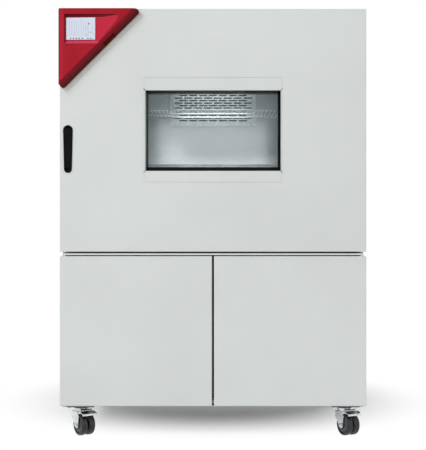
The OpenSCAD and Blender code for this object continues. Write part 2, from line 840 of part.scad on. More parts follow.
// Impeller of the circulation fan on its shaft
module circulation_fan() {
    y0 = baffle_y + liner_t + 12;
    r = impeller_d / 2;
    inner_r = r * 0.55;
    blade_t = 2;
    color(steel) {
        rod_y(0, fan_z, y0 + impeller_w - 2, y0 + impeller_w, r);
        difference() {
            rod_y(0, fan_z, y0, y0 + 2, r);
            rod_y(0, fan_z, y0 - eps, y0 + 3, inner_r + 6);
        }
        extrude_y(y0 + 2, y0 + impeller_w - 2) for (i = [0 : impeller_n - 1]) {
            translate([0, fan_z]) rotate(i * 360 / impeller_n) intersection() {
                translate([r * 0.78, r * 0.42]) difference() {
                    circle(r = r * 0.5);
                    circle(r = r * 0.5 - blade_t);
                }
                polygon([[inner_r, -r * 0.35], [r * 0.97, -r * 0.3], [r * 0.97, r * 0.1], [inner_r, r * 0.1]]);
            }
        }
        rod_y(0, fan_z, y0 + impeller_w - 24, y0 + impeller_w - 2, shaft_d / 2 + 8);
        rod_y(0, fan_z, y0 + impeller_w, insul_y + 69, shaft_d / 2);
    }
}

// Fixed hinge brackets: two for the chamber door and four for the service doors
module pin_arm(x, y, root_y, r, z0, t) {
    translate([x, y, z0]) cylinder(h = t, r = r);
    slab(x - r, x + r, y, root_y, z0, z0 + t);
}

module hinge_brackets() {
    arm_r = 12;
    bush_r = hinge_d / 2;
    color(zinc) {
        pin_arm(hinge_x, hinge_y, collar_y, arm_r, roof_z - hinge_t, hinge_t);
        slab(hinge_x - 18, hinge_x + 15, collar_y - leg_t, collar_y, roof_z - 60, roof_z);
        translate([hinge_x, hinge_y, notch_z - 30]) cylinder(h = roof_z - hinge_t - notch_z + 30, r = bush_r);
        pin_arm(hinge_x, hinge_y, collar_y, arm_r, deck_z, leg_t);
        slab(hinge_x - 18, hinge_x + 15, collar_y - leg_t, collar_y, deck_z, deck_z + 50);
        translate([hinge_x, hinge_y, deck_z + leg_t]) {
            cylinder(h = deck_gap - leg_t - slip, r = bush_r + 3);
            cylinder(h = 38, r = bush_r);
        }
    }
    for (s = [-1, 1]) {
        color(zinc) service_lug(s * service_axis_x, service_z - slip - lug_t, service_z - slip);
        color(zinc) service_lug(s * service_axis_x, service_z + service_h + slip, service_z + service_h - pin_l + slip);
    }
}

// Hinge lug of a service door: an arm off the cabinet's front with a pin that enters the door
module service_lug(x, arm_z, pin_z) {
    lug_r = 7;
    pin_arm(x, service_axis_y, cabinet_y, lug_r, arm_z, lug_t);
    translate([x, service_axis_y, pin_z]) cylinder(h = pin_l, r = service_pin_d / 2);
}

// Keeper behind the collar that the latch nose hooks into
module latch_keeper() {
    lip_x = latch_x + neck_w / 2 + nose_reach + 0.4;
    x0 = keeper_x - keeper_w / 2;
    x1 = keeper_x + keeper_w / 2;
    z0 = latch_z - keeper_h / 2;
    z1 = latch_z + keeper_h / 2;
    color(zinc) difference() {
        slab(x0 - keeper_t, x1 + keeper_t, collar_y + sheet_t, collar_y + 30, z0 - keeper_t, z1 + keeper_t);
        slab(x0, x1, collar_y, collar_y + 30 - keeper_t, z0, z1);
    }
    color(zinc) slab(lip_x, x1, collar_y, nose_y - 1, latch_z - neck_h / 2, latch_z + neck_h / 2);
}

// Hermetic compressor on its foot plate
compressor_x = 258.5 - side_x;
compressor_y = 130;

module compressor() {
    r = compressor_d / 2;
    foot_z = floor_z + sheet_t;
    color([0.16, 0.17, 0.18]) {
        translate([compressor_x, compressor_y, 0]) {
            translate([0, 0, foot_z + 18]) rotate_extrude() polygon([[0, 0], [r * 0.7, 0], [r * 0.92, 14], [r, 34],
                [r, compressor_h * 0.48], [r + 4, compressor_h * 0.48], [r + 4, compressor_h * 0.52], [r, compressor_h * 0.52],
                [r, compressor_h - 50], [r * 0.93, compressor_h - 28], [r * 0.72, compressor_h - 12],
                [r * 0.4, compressor_h], [0, compressor_h]]);
            slab(-r - 12, r + 12, -r - 6, r + 6, foot_z + 14, foot_z + 18);
            for (sx = [-1, 1], sy = [-1, 1]) {
                translate([sx * r, sy * (r - 6), foot_z]) cylinder(h = 14, r = 11);
            }
            slab(-30, 30, -r - 34, -r + 12, foot_z + 90, foot_z + 160);
        }
    }
}

// Condenser behind the rear grille
condenser_x = vent_x - condenser_w / 2;
condenser_y = web_y - 62;
condenser_dep = 50;
condenser_z = vent_z + (vent_h - condenser_h) / 2;
condenser_mid = condenser_z + condenser_h / 2;

module condenser() {
    color(zinc) translate([condenser_x, condenser_y, condenser_z]) {
        finned_coil(condenser_w, condenser_h, condenser_dep, 12, 8);
    }
    for (x = [condenser_x + 20, condenser_x + condenser_w - 60]) {
        color(zinc) slab(x, x + 40, condenser_y, condenser_y + condenser_dep, floor_z + sheet_t, condenser_z);
    }
}

// Shroud that guides the air from the fan through the condenser
shroud_d = 70;

module condenser_shroud() {
    r = condenser_fan_d / 2 + 6;
    y0 = condenser_y - shroud_d;
    mount_r = 34;
    color(black) {
        difference() {
            slab(condenser_x, condenser_x + condenser_w, y0, condenser_y, condenser_z, condenser_z + condenser_h);
            slab(condenser_x + 2, condenser_x + condenser_w - 2, y0 + 3, condenser_y + eps,
                condenser_z + 2, condenser_z + condenser_h - 2);
            rod_y(vent_x, condenser_mid, y0 - eps, y0 + 4, r);
        }
        difference() {
            union() {
                slab(vent_x - r - 8, vent_x + r + 8, y0 - 4, y0, condenser_mid - 8, condenser_mid + 8);
                bell_mouth(r, y0);
                rod_y(vent_x, condenser_mid, y0 - 60, y0, mount_r);
            }
            rod_y(vent_x, condenser_mid, y0 - 30, y0 + eps, 6 + fit);
        }
    }
}

// Flared inlet ring on the face of the shroud
module bell_mouth(r, y) {
    lip = 10;
    wall = 1.5;
    translate([vent_x, y, condenser_mid]) rotate([90, 0, 0]) rotate_extrude() translate([r, 0]) difference() {
        square([lip + wall, lip + wall]);
        translate([lip + wall, 0]) circle(r = lip);
    }
}

// Axial fan with pitched blades
module condenser_fan() {
    y0 = condenser_y - shroud_d;
    r = condenser_fan_d / 2;
    hub_r = 36;
    color(black) translate([vent_x, y0 + 24, condenser_mid]) {
        rotate([90, 0, 0]) cylinder(h = 36, r = hub_r, center = true);
        for (i = [0 : condenser_fan_n - 1]) {
            rotate([0, i * 360 / condenser_fan_n, 0]) translate([hub_r - 4, 0, 0]) rotate([62, 0, 0])
                linear_extrude(2.5, center = true) polygon([[0, -16], [r - hub_r - 8, -30], [r - hub_r, -22],
                    [r - hub_r, 14], [r - hub_r - 6, 22], [0, 16]]);
        }
    }
    color(steel) rod_y(vent_x, condenser_mid, y0 - 29, y0 + 10, 6);
}

// Receiver, filter drier and copper pipes of the cooling circuit
receiver_x = 438.5 - side_x;
receiver_y = 60;

module refrigerant_lines() {
    foot_z = floor_z + sheet_t;
    top = foot_z + 18 + compressor_h;
    condenser_top = condenser_z + condenser_h;
    core_y = condenser_y + condenser_dep / 2;
    ceiling = deck_z - sheet_t;
    high = condenser_top + 40;
    color(copper) {
        translate([receiver_x, receiver_y, foot_z]) rotate_extrude() polygon([[0, 0], [34, 0], [34, 4], [40, 16],
            [45, 32], [45, 210], [38, 226], [22, 240], [0, 240]]);
        pipe([[compressor_x + 18, compressor_y, top], [compressor_x + 18, compressor_y, high],
            [compressor_x + 18, core_y, high], [compressor_x + 18, core_y, condenser_top]], 5);
        pipe([[compressor_x - 18, compressor_y, top], [compressor_x - 18, compressor_y, ceiling]], 7);
        pipe([[receiver_x - 11, receiver_y, foot_z + 240], [receiver_x - 11, receiver_y, high],
            [receiver_x - 11, core_y, high], [receiver_x - 11, core_y, condenser_top]], 5);
        pipe([[receiver_x + 11, receiver_y, foot_z + 240], [receiver_x + 11, receiver_y, foot_z + 330],
            [receiver_x + 160, receiver_y, foot_z + 330], [receiver_x + 160, receiver_y, ceiling]], 5);
        translate([receiver_x + 50, receiver_y, foot_z + 330]) rotate([0, 90, 0]) cylinder(h = 70, r = 16);
    }
}

// Steam boiler for the humidity system
boiler_x = side_x - 518.5;
boiler_y = -180;

module steam_boiler() {
    foot_z = floor_z + sheet_t;
    color(steel) {
        for (a = [0, 120, 240]) {
            translate([boiler_x + 52 * cos(a), boiler_y + 52 * sin(a), foot_z]) cylinder(h = 60, r = 6);
        }
        translate([boiler_x, boiler_y, foot_z + 60]) rotate_extrude() polygon([[0, 0], [64, 0], [70, 8], [70, 96],
            [78, 96], [78, 108], [70, 108], [70, 190], [58, 208], [30, 218], [14, 220], [14, 236], [0, 236]]);
        pipe([[boiler_x, boiler_y, foot_z + 292], [boiler_x, boiler_y, deck_z - sheet_t - 0.1]], 9);
    }
}

// Control box on the right of the compartment
box_w = 290;
box_d = 240;
box_h = 400;
box_x1 = side_x - 38.5;
box_x0 = box_x1 - box_w;
box_y0 = cabinet_y + 104;

module control_box() {
    z0 = floor_z + sheet_t;
    color(zinc) {
        difference() {
            slab(box_x0, box_x1, box_y0, box_y0 + box_d, z0, z0 + box_h);
            slab(box_x0 + sheet_t, box_x1 - sheet_t, box_y0 - eps, box_y0 + box_d - sheet_t,
                z0 + sheet_t, z0 + box_h - sheet_t);
        }
        slab(box_x0 + sheet_t, box_x1 - sheet_t, box_y0, box_y0 + sheet_t, z0 + sheet_t, z0 + box_h - sheet_t);
        for (i = [0 : 3]) {
            rod_x(box_y0 + box_d / 4 + i * 36, z0 + box_h - 70, box_x0 - 14, box_x0, 10, $fn = 6);
        }
        slab(box_x0 + 30, box_x1 - 30, box_y0 - 6, box_y0, z0 + 40, z0 + 60);
    }
}

// Frame of the main switch in the right side panel
rocker_r = 13.5;
rocker_w = 14;
rocker_axis_x = side_x - 7;

module switch_bezel() {
    color(black) difference() {
        union() {
            slab(side_x, side_x + 2, switch_y - switch_w / 2 - 3, switch_y + switch_w / 2 + 3,
                switch_z - switch_h / 2 - 3, switch_z + switch_h / 2 + 3);
            slab(side_x - 26, side_x, switch_y - switch_w / 2, switch_y + switch_w / 2,
                switch_z - switch_h / 2, switch_z + switch_h / 2);
        }
        slab(side_x - 24, side_x + 3, switch_y - rocker_w / 2 - 0.5, switch_y + rocker_w / 2 + 0.5,
            switch_z - rocker_r - 0.6, switch_z + rocker_r + 0.6);
        rod_y(rocker_axis_x, switch_z, switch_y - rocker_w / 2 - 2.5, switch_y + rocker_w / 2 + 2.5, 2 + fit);
    }
}

module switch_rocker() {
    color([0.1, 0.45, 0.2]) {
        extrude_y(switch_y - rocker_w / 2, switch_y + rocker_w / 2) translate([rocker_axis_x, switch_z]) intersection() {
            circle(r = rocker_r);
            polygon([[-8, -rocker_r], [10.5, -rocker_r], [8, 0], [13, rocker_r], [-8, rocker_r]]);
        }
        rod_y(rocker_axis_x, switch_z, switch_y - rocker_w / 2 - 2, switch_y + rocker_w / 2 + 2, 2);
    }
}

// Water connections and the supply gland on the rear panel
module rear_connections() {
    color([0.75, 0.62, 0.3]) for (i = [0, 1]) {
        translate([conn_x + i * conn_pitch, rear_y, conn_z]) rotate([-90, 0, 0]) difference() {
            union() {
                cylinder(h = 5, r = water_d / 2 + 6, $fn = 6);
                translate([0, 0, 5]) cylinder(h = water_l, r = water_d / 2);
            }
            translate([0, 0, -eps]) cylinder(h = water_l + 7, r = water_d / 2 - 3.2);
        }
    }
    color(black) translate([conn_x, rear_y, gland_z]) rotate([-90, 0, 0]) difference() {
        union() {
            cylinder(h = 6, r = 16, $fn = 6);
            translate([0, 0, 6]) cylinder(h = 14, r1 = 13, r2 = 9);
        }
        translate([0, 0, -eps]) cylinder(h = 24, r = 5);
    }
}

// Spacers that keep the rear panel off the wall
module wall_spacers() {
    spacer_x = side_x - 128.5;
    color(black) for (x = [-spacer_x, spacer_x]) {
        translate([x, rear_y, roof_z - 90]) rotate([-90, 0, 0]) {
            cylinder(h = 5, r = 22);
            translate([0, 0, 5]) cylinder(h = spacer_l - 13, r1 = 13, r2 = 10);
            translate([0, 0, spacer_l - 8]) cylinder(h = 8, r = 15);
        }
    }
}

// Castor top plates with their swivel races
module caster_plates() {
    color(zinc) for (x = [-caster_x, caster_x], y = [front_caster_y, rear_caster_y]) {
        translate([x, y, 0]) difference() {
            union() {
                translate([0, 0, caster_h - plate_t]) linear_extrude(plate_t) round_rect(plate_w, plate_l, 8);
                translate([0, 0, caster_h - plate_t - race_h + 3]) cylinder(h = race_h - 3, r1 = 24, r2 = 30);
            }
            for (sx = [-1, 1], sy = [-1, 1]) {
                translate([sx * 40, sy * 30, caster_h - plate_t - eps]) cylinder(h = plate_t + 2, r = 4.3);
            }
            translate([0, 0, caster_h - plate_t - race_h]) cylinder(h = plate_t + race_h + 1, r = 6 + fit);
        }
    }
}

// Castor fork: pressed crown, two tapered legs, king pin and axle
module caster_fork(x, y, swing) {
    leg_x = fork_gap / 2;
    color(zinc) translate([x, y, 0]) rotate(swing) {
        difference() {
            union() {
                translate([0, 0, crown_z]) cylinder(h = caster_h - plate_t - race_h + 3 - crown_z - slip, r = 27);
                slab(-leg_x - fork_t, leg_x + fork_t, -trail - 6, 14, crown_z, crown_z + fork_t);
                for (ear = [-23, 20]) {
                    slab(ear, ear + 3, pedal_y, -trail - 4, crown_z, pedal_z + 5);
                    rod_x(pedal_y, pedal_z, ear, ear + 3, 5);
                }
                for (s = [-1, 1]) {
                    extrude_x(s < 0 ? -leg_x - fork_t : leg_x, s < 0 ? -leg_x : leg_x + fork_t) {
                        polygon([[-trail - 11, axle_z - 4], [-trail + 11, axle_z - 4], [16, crown_z - 18],
                            [16, crown_z + fork_t], [-trail - 6, crown_z + fork_t], [-trail - 15, crown_z - 16]]);
                        translate([-trail, axle_z]) circle(r = 12);
                    }
                }
            }
            rod_x(-trail, axle_z, -leg_x - fork_t - eps, leg_x + fork_t + eps, axle_d / 2);
        }
        translate([0, 0, crown_z + fork_t]) cylinder(h = caster_h - crown_z - fork_t - 0.5, r = 6);
        rod_x(-trail, axle_z, -leg_x - fork_t - 2.5, leg_x + fork_t + 2.5, axle_d / 2);
        rod_x(pedal_y, pedal_z, -24, 24, 2.5);
    }
}

module caster_fork_front_left() { caster_fork(-caster_x, front_caster_y, swing_left); }
module caster_fork_front_right() { caster_fork(caster_x, front_caster_y, swing_right); }
module caster_fork_rear_left() { caster_fork(-caster_x, rear_caster_y, swing_left); }
module caster_fork_rear_right() { caster_fork(caster_x, rear_caster_y, swing_right); }

// Pair of castor wheels on one axle: hub, web and rounded tread in one turned profile
module wheel_profile() {
    r = wheel_d / 2;
    h = wheel_w / 2;
    bore = axle_d / 2 + fit;
    polygon([[bore, -h], [12, -h], [13, -h + 3], [r - 11, -h + 5], [r - 9, -h + 1], [r - 5, -h], [r - 1.5, -h + 2.5],
        [r, -h + 6], [r, h - 6], [r - 1.5, h - 2.5], [r - 5, h], [r - 9, h - 1], [r - 11, h - 5], [13, h - 3],
        [12, h], [bore, h]]);
}

module caster_wheels(x, y, swing) {
    color(black) translate([x, y, 0]) rotate(swing) translate([0, -trail, axle_z]) {
        for (s = [-1, 1]) {
            translate([s * (wheel_w + wheel_slit) / 2, 0, 0]) rotate([0, 90, 0]) rotate_extrude() wheel_profile();
        }
        difference() {
            rotate([0, 90, 0]) cylinder(h = wheel_slit, r = 10, center = true);
            rotate([0, 90, 0]) cylinder(h = wheel_slit + 2, r = axle_d / 2 + fit, center = true);
        }
    }
}

module wheels_front_left() { caster_wheels(-caster_x, front_caster_y, swing_left); }
module wheels_front_right() { caster_wheels(caster_x, front_caster_y, swing_right); }
module wheels_rear_left() { caster_wheels(-caster_x, rear_caster_y, swing_left); }
module wheels_rear_right() { caster_wheels(caster_x, rear_caster_y, swing_right); }

// Sheet pan with folded sides and rounded front edges
module pan(x0, x1, z0, z1, y0, y1, t) {
    difference() {
        intersection() {
            translate([0, 0, z0]) linear_extrude(z1 - z0) pan_edge(x0, x1, y0, y1);
            extrude_x(x0, x1) pan_edge_side(z0, z1, y0, y1);
        }
        slab(x0 + t, x1 - t, y0 + t, y1 + eps, z0 + t, z1 - t);
    }
}

module pan_edge(x0, x1, y0, y1) {
    polygon([[x0, y0 + bend_r], [x0 + bend_r, y0], [x1 - bend_r, y0], [x1, y0 + bend_r], [x1, y1], [x0, y1]]);
    for (x = [x0 + bend_r, x1 - bend_r]) {
        translate([x, y0 + bend_r]) circle(r = bend_r);
    }
}

module pan_edge_side(z0, z1, y0, y1) {
    polygon([[y0 + bend_r, z0], [y1, z0], [y1, z1], [y0 + bend_r, z1], [y0, z1 - bend_r], [y0, z0 + bend_r]]);
    for (z = [z0 + bend_r, z1 - bend_r]) {
        translate([y0 + bend_r, z]) circle(r = bend_r);
    }
}

// Notch at the top of the door for the upper hinge bracket
module hinge_notch() {
    slab(notch_x, half_w + eps, notch_y, door_back_y + eps, notch_z, total_h + eps);
}

// Solid hinge blocks welded inside the door
module hinge_block_shape(z0) {
    slab(half_w - sheet_t - hinge_block_w, half_w - sheet_t, hinge_y - 22, hinge_y + 22, z0, z0 + hinge_block);
}

module door_skin() {
    bore_r = hinge_d / 2 + fit;
    color(paint) {
        difference() {
            pan(-half_w, half_w, door_z, total_h, face_y, door_back_y, sheet_t);
            slab(-surround_w / 2 - seam, surround_w / 2 + seam, face_y - eps, face_y + sheet_t + eps,
                surround_z - seam, surround_z + surround_h + seam);
            extrude_y(face_y - eps, face_y + sheet_t + eps) handle_outline(rim - cup_t);
            hinge_notch();
            translate([hinge_x, hinge_y, door_z - eps]) cylinder(h = sheet_t + 2 * eps, r = bore_r + 0.5);
        }
        difference() {
            hinge_block_shape(door_z + sheet_t);
            translate([hinge_x, hinge_y, door_z]) cylinder(h = hinge_block + 10, r = bore_r);
        }
        difference() {
            hinge_block_shape(notch_z - hinge_block);
            translate([hinge_x, hinge_y, notch_z - hinge_block - eps]) cylinder(h = hinge_block + 10, r = bore_r);
        }
    }
}

// Outline of the door plug, shrunk on every side
module plug_outline(shrink) {
    cavity_outline(-plug_clear - shrink);
}

// Outline of the window opening in the door, grown on every side
module window_outline(side, bottom, top) {
    translate([-open_x - side, open_z0 - bottom]) {
        square([2 * (open_x + side), open_z1 - open_z0 + bottom + top]);
    }
}

// Insulating core of the door, which also fills the plug
module door_core() {
    color(foam) difference() {
        union() {
            slab(-half_w + sheet_t, half_w - sheet_t, face_y + sheet_t, door_back_y - liner_t,
                door_z + sheet_t, total_h - sheet_t);
            extrude_y(door_back_y - liner_t, plug_y - liner_t) plug_outline(liner_t);
        }
        extrude_y(face_y, plug_y) window_outline(2, 2, 2);
        extrude_y(face_y, face_y + cup_d + 3) handle_outline(rim - cup_t);
        hinge_notch();
        hinge_block_shape(door_z + sheet_t);
        hinge_block_shape(notch_z - hinge_block);
        slab(latch_x - latch_w / 2 - latch_stroke - 2, latch_x + latch_w / 2 + 2, latch_y0 - slip, door_back_y,
            latch_z - latch_h / 2 - slip, latch_z + latch_h / 2 + slip);
    }
}

// Stainless inner sheet of the door with its raised plug
module door_liner() {
    color(steel) difference() {
        union() {
            slab(-half_w + sheet_t, half_w - sheet_t, door_back_y - liner_t, door_back_y,
                door_z + sheet_t, total_h - sheet_t);
            extrude_y(door_back_y - liner_t, plug_y) plug_outline(0);
        }
        extrude_y(door_back_y - 2 * liner_t, plug_y - liner_t) plug_outline(liner_t);
        extrude_y(face_y, plug_y + eps) window_outline(2, 2, 2);
        hinge_notch();
        slab(latch_x - neck_w / 2 - latch_stroke - 2, latch_x + neck_w / 2 + 2, door_back_y - 3, door_back_y + eps,
            latch_z - neck_h / 2 - 1, latch_z + neck_h / 2 + 1);
    }
}

// Painted surround, flush with the door, with a short return into the opening
module window_surround() {
    color(paint) difference() {
        union() {
            slab(-surround_w / 2, surround_w / 2, face_y, face_y + sheet_t, surround_z, surround_z + surround_h);
            extrude_y(face_y + sheet_t, face_y + 12) window_outline(2, 2, 2);
        }
        extrude_y(face_y - eps, face_y + 13) window_outline(0, 0, 0);
    }
}

// Black window frame: a deep tunnel with a lip that holds the outer and the inner pane

module window_frame() {
    color(black) difference() {
        extrude_y(face_y + 12, plug_y) window_outline(2, 2, 2);
        extrude_y(face_y, glass_y - 4) window_outline(0, 0, 0);
        extrude_y(face_y, plug_y + eps) window_outline(-lip_side, -lip_bottom, -lip_top);
        for (y = pane_ys) {
            extrude_y(y, y + pane_t) window_outline(0, 0, 0);
        }
    }
}

module window_panes() {
    color([0.8, 0.88, 0.88, 0.3]) for (y = pane_ys) {
        extrude_y(y, y + pane_t) window_outline(0, 0, 0);
    }
}

// Door seal: a flat foot with a bulb that meets the collar
module door_gasket() {
    color(seal_colour) {
        difference() {
            extrude_y(door_back_y, door_back_y + 4) cavity_outline(30);
            extrude_y(door_back_y - eps, door_back_y + 5) cavity_outline(4);
        }
        difference() {
            extrude_y(door_back_y + 4, collar_y - seal_clear) cavity_outline(25);
            extrude_y(door_back_y, collar_y + eps) cavity_outline(9);
        }
    }
}

// Console: a shelled triangular moulding, chamfered on its sloping edge
console_x = -half_w + console_inset;
console_y = face_y - console_proud;
console_z = total_h - console_inset;

// Outline with the square corner at the top left and two rounded tips
function console_points(n = 8) = let (r = console_tip_r, far = console_leg - r)
    concat([[0, 0]],
        [for (i = [0:n]) let (a = 90 - i * 135 / n) [far + r * cos(a), -r + r * sin(a)]],
        [for (i = [0:n]) let (a = -45 - i * 135 / n) [r + r * cos(a), -far + r * sin(a)]]);

module console_outline() {
    translate([console_x, console_z]) polygon(console_points());
}

recess_x = console_x + 18;
recess_z = console_z - 21.5;
recess_w = console_leg - 87;
recess_lean = atan(recess_d / recess_w);
screen_z1 = recess_z - 12.5;

// Slanted recess: deepest at the left, level with the face at its right end, with a sloping ledge below
module console_recess() {
    foot = screen_h + 18 + ledge_h;
    top_w = recess_w + 8;
    low_z = recess_z - foot;
    intersection() {
        extrude_y(console_y - eps, console_y + 2 * recess_d) polygon([[recess_x, recess_z],
            [recess_x + top_w, recess_z], [recess_x + top_w - 0.85 * foot, low_z - eps], [recess_x, low_z - eps]]);
        translate([recess_x, console_y + recess_d, low_z - 2 * eps]) rotate(-recess_lean)
            translate([-5, -3 * recess_d, 0]) cube([recess_w + 30, 3 * recess_d, foot + 4 * eps]);
        extrude_x(recess_x - eps, recess_x + top_w + eps) polygon([[console_y - recess_d, recess_z + eps],
            [console_y + 2 * recess_d, recess_z + eps], [console_y + 2 * recess_d, low_z + 2 * ledge_h],
            [console_y - recess_d, low_z - ledge_h]]);
    }
}

// Pocket for the service interfaces, through the lower half of the chamfer on the sloping edge
module console_pocket() {
    pocket_l = 54;
    pocket_h = 18;
    pocket_d = 40;
    along = console_leg - 110;
    translate([console_x + along, face_y - 6 - pocket_h / 2, console_z - console_leg + along])
        rotate([0, 45, 0]) cube([pocket_d, pocket_h, pocket_l], center = true);
}

module console_housing() {
    drop = console_chamfer * 0.8;
    color(red) difference() {
        extrude_y(console_y, face_y) console_outline();
        translate([console_x + console_leg, console_y + drop, console_z]) rotate([0, 45, 0])
            rotate([0, 0, atan2(drop, console_chamfer)])
            translate([-80, -60, -2 * console_leg]) cube([160, 60, 3 * console_leg]);
        console_recess();
        extrude_y(console_y + recess_d + 6, face_y + eps) {
            translate([console_x + 8, console_z - 8]) {
                polygon([[0, 0], [console_leg - 60, 0], [0, -console_leg + 60]]);
            }
        }
        console_pocket();
    }
}

// Flat touch screen that lies on the slanted floor of the recess
module touch_screen() {
    glass_t = 2.8;
    color([0.92, 0.95, 0.99]) translate([recess_x, console_y + recess_d, screen_z1 - screen_h]) {
        rotate(-recess_lean) translate([6, -glass_t, 0]) cube([screen_w, glass_t, screen_h]);
    }
}

// Handle cup: a rim on the door face and a deep dish behind it
module handle_cup() {
    half = handle_w_top / 2;
    color(black) difference() {
        union() {
            extrude_y(face_y - rim_proud, face_y) handle_outline(0);
            extrude_y(face_y, face_y + cup_d) handle_outline(rim - cup_t);
        }
        extrude_y(face_y - rim_proud - eps, face_y + cup_d - cup_t) handle_outline(rim);
        rod_x(pivot_y, pivot_z, handle_x - half + 1.7, handle_x + half - 1.7, pivot_d / 2 + fit);
    }
}

// Pull lever with a stiffened front plate and a pivot boss
module handle_lever() {
    shrink = rim + lever_gap;
    bottom = handle_z + 19;
    y0 = face_y - rim_proud - 1;
    half = handle_w_top / 2;
    color(black) {
        intersection() {
            extrude_y(y0, y0 + lever_t) handle_outline(shrink);
            slab(handle_x - half, handle_x + half, y0 - eps, y0 + lever_t + eps, bottom, pivot_z + 2);
        }
        intersection() {
            extrude_y(y0 + lever_t, y0 + lever_t + 6) handle_outline(shrink + 5);
            slab(handle_x - half, handle_x + half, y0, y0 + 20, bottom + 8, pivot_z - 8);
        }
        rod_x(pivot_y, pivot_z, handle_x - half + shrink + 1, handle_x + half - shrink - 1, 3.8);
        rod_x(pivot_y, pivot_z, handle_x - half + rim, handle_x + half - rim, pivot_d / 2);
    }
}

// Latch slide behind the handle: a block, a neck through the door liner and a hooked nose
module latch_slide() {
    color(zinc) {
        slab(latch_x - latch_w / 2, latch_x + latch_w / 2, latch_y0, latch_y1,
            latch_z - latch_h / 2, latch_z + latch_h / 2);
        slab(latch_x - neck_w / 2, latch_x + neck_w / 2, latch_y1, nose_y + nose_t,
            latch_z - neck_h / 2, latch_z + neck_h / 2);
        slab(latch_x, latch_x + neck_w / 2 + nose_reach, nose_y, nose_y + nose_t,
            latch_z - neck_h / 2, latch_z + neck_h / 2);
    }
}

// Service doors: folded pans with a hinge hole in the top and bottom flanges
module service_door(side) {
    x0 = side < 0 ? -half_w : service_x0;
    x1 = side < 0 ? -service_x0 : half_w;
    z1 = service_z + service_h;
    t = sheet_t;
    color(paint) {
        difference() {
            pan(x0, x1, service_z, z1, face_y, face_y + service_d, t);
            translate([side * service_axis_x, service_axis_y, service_z - eps]) {
                cylinder(h = service_h + 2 * eps, r = service_pin_d / 2 + fit);
            }
        }
        for (share = [0.3, 0.7]) {
            translate([x0 + share * (x1 - x0), face_y + t, service_z + 40]) hat_rib(service_h - 80);
        }
    }
}

// Stiffener of folded sheet with two feet and a raised channel between them
module hat_rib(length) {
    crown_w = 30;
    foot_w = 14;
    rise = 12;
    fold = 1.5;
    half = crown_w / 2;
    toe = half + 4;
    linear_extrude(length) polygon([[-toe - foot_w, 0], [-toe, 0], [-half + fold, rise - fold], [half - fold, rise - fold],
        [toe, 0], [toe + foot_w, 0], [toe + foot_w, fold], [toe + fold, fold], [half, rise], [-half, rise],
        [-toe - fold, fold], [-toe - foot_w, fold]]);
}

module service_door_left() { service_door(-1); }
module service_door_right() { service_door(1); }

// Brake pedal of a front castor: a plate on a sleeve that turns on the fork's pin
module brake_pedal(x, y, swing) {
    color(zinc) translate([x, y, 0]) rotate(swing) translate([0, pedal_y, pedal_z]) difference() {
        union() {
            rod_x(0, 0, -19.5, 19.5, 5);
            rotate([14, 0, 0]) slab(-19, 19, -10, 0, -1.5, 1.5);
            rotate([14, 0, 0]) slab(-30, 30, -32, -8, -1.5, 1.5);
            rotate([14, 0, 0]) slab(-30, 30, -35, -32, -6, 1.5);
        }
        rod_x(0, 0, -20, 20, 2.5 + fit);
    }
}

module brake_pedal_left() { brake_pedal(-caster_x, front_caster_y, swing_left); }
module brake_pedal_right() { brake_pedal(caster_x, front_caster_y, swing_right); }

base_frame();
side_panel_left();
side_panel_right();
roof_panel();
rear_panel();
rear_grille();
machine_deck();
front_collar();
chamber_liner();
insulation();
baffle_plate();
intake_grille();
fixing_screws();
heater_coil();
evaporator();
fan_motor();
shelf_rails();
port_sleeve();
hinge_brackets();
latch_keeper();
compressor();
condenser();
condenser_shroud();
refrigerant_lines();
steam_boiler();
control_box();
switch_bezel();
rear_connections();
wall_spacers();
caster_plates();
door_skin();
door_core();
door_liner();
window_surround();
window_frame();
window_panes();
door_gasket();
console_housing();
touch_screen();
handle_cup();
handle_lever();
latch_slide();
service_door_left();
service_door_right();
port_plug();
switch_rocker();
shelf_upper();
shelf_lower();
circulation_fan();
condenser_fan();
caster_fork_front_left();
caster_fork_front_right();
caster_fork_rear_left();
caster_fork_rear_right();
wheels_front_left();
wheels_front_right();
wheels_rear_left();
wheels_rear_right();
brake_pedal_left();
brake_pedal_right();
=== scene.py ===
"""A climate chamber on castors: finishes, small fittings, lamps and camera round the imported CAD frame."""
import json
import math

import bmesh
import bpy
import numpy as np
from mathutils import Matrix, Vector


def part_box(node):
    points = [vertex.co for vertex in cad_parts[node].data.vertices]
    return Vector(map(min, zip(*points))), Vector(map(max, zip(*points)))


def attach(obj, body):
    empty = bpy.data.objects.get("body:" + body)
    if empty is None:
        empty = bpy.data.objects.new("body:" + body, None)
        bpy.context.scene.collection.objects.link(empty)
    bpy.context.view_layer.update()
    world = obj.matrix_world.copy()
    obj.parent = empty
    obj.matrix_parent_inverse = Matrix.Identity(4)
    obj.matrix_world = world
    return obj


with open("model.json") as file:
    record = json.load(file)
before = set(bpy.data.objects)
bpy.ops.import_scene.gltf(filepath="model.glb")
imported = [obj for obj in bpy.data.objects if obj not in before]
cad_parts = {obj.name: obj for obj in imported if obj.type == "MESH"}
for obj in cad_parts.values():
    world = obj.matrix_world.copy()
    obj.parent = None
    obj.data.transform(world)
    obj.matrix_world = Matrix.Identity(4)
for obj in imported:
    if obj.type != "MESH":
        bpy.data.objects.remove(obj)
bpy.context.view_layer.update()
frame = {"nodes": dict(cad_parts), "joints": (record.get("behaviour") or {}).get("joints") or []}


# Places in the frame that finishes and new pieces are set against, in mm

MM = 0.001
X, Y, Z = np.eye(3)
JOINTS = {joint["name"]: joint for joint in frame["joints"]}


def box_mm(node):
    """The lowest and the highest corner of a CAD node."""
    return [np.array(corner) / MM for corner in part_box(node)]


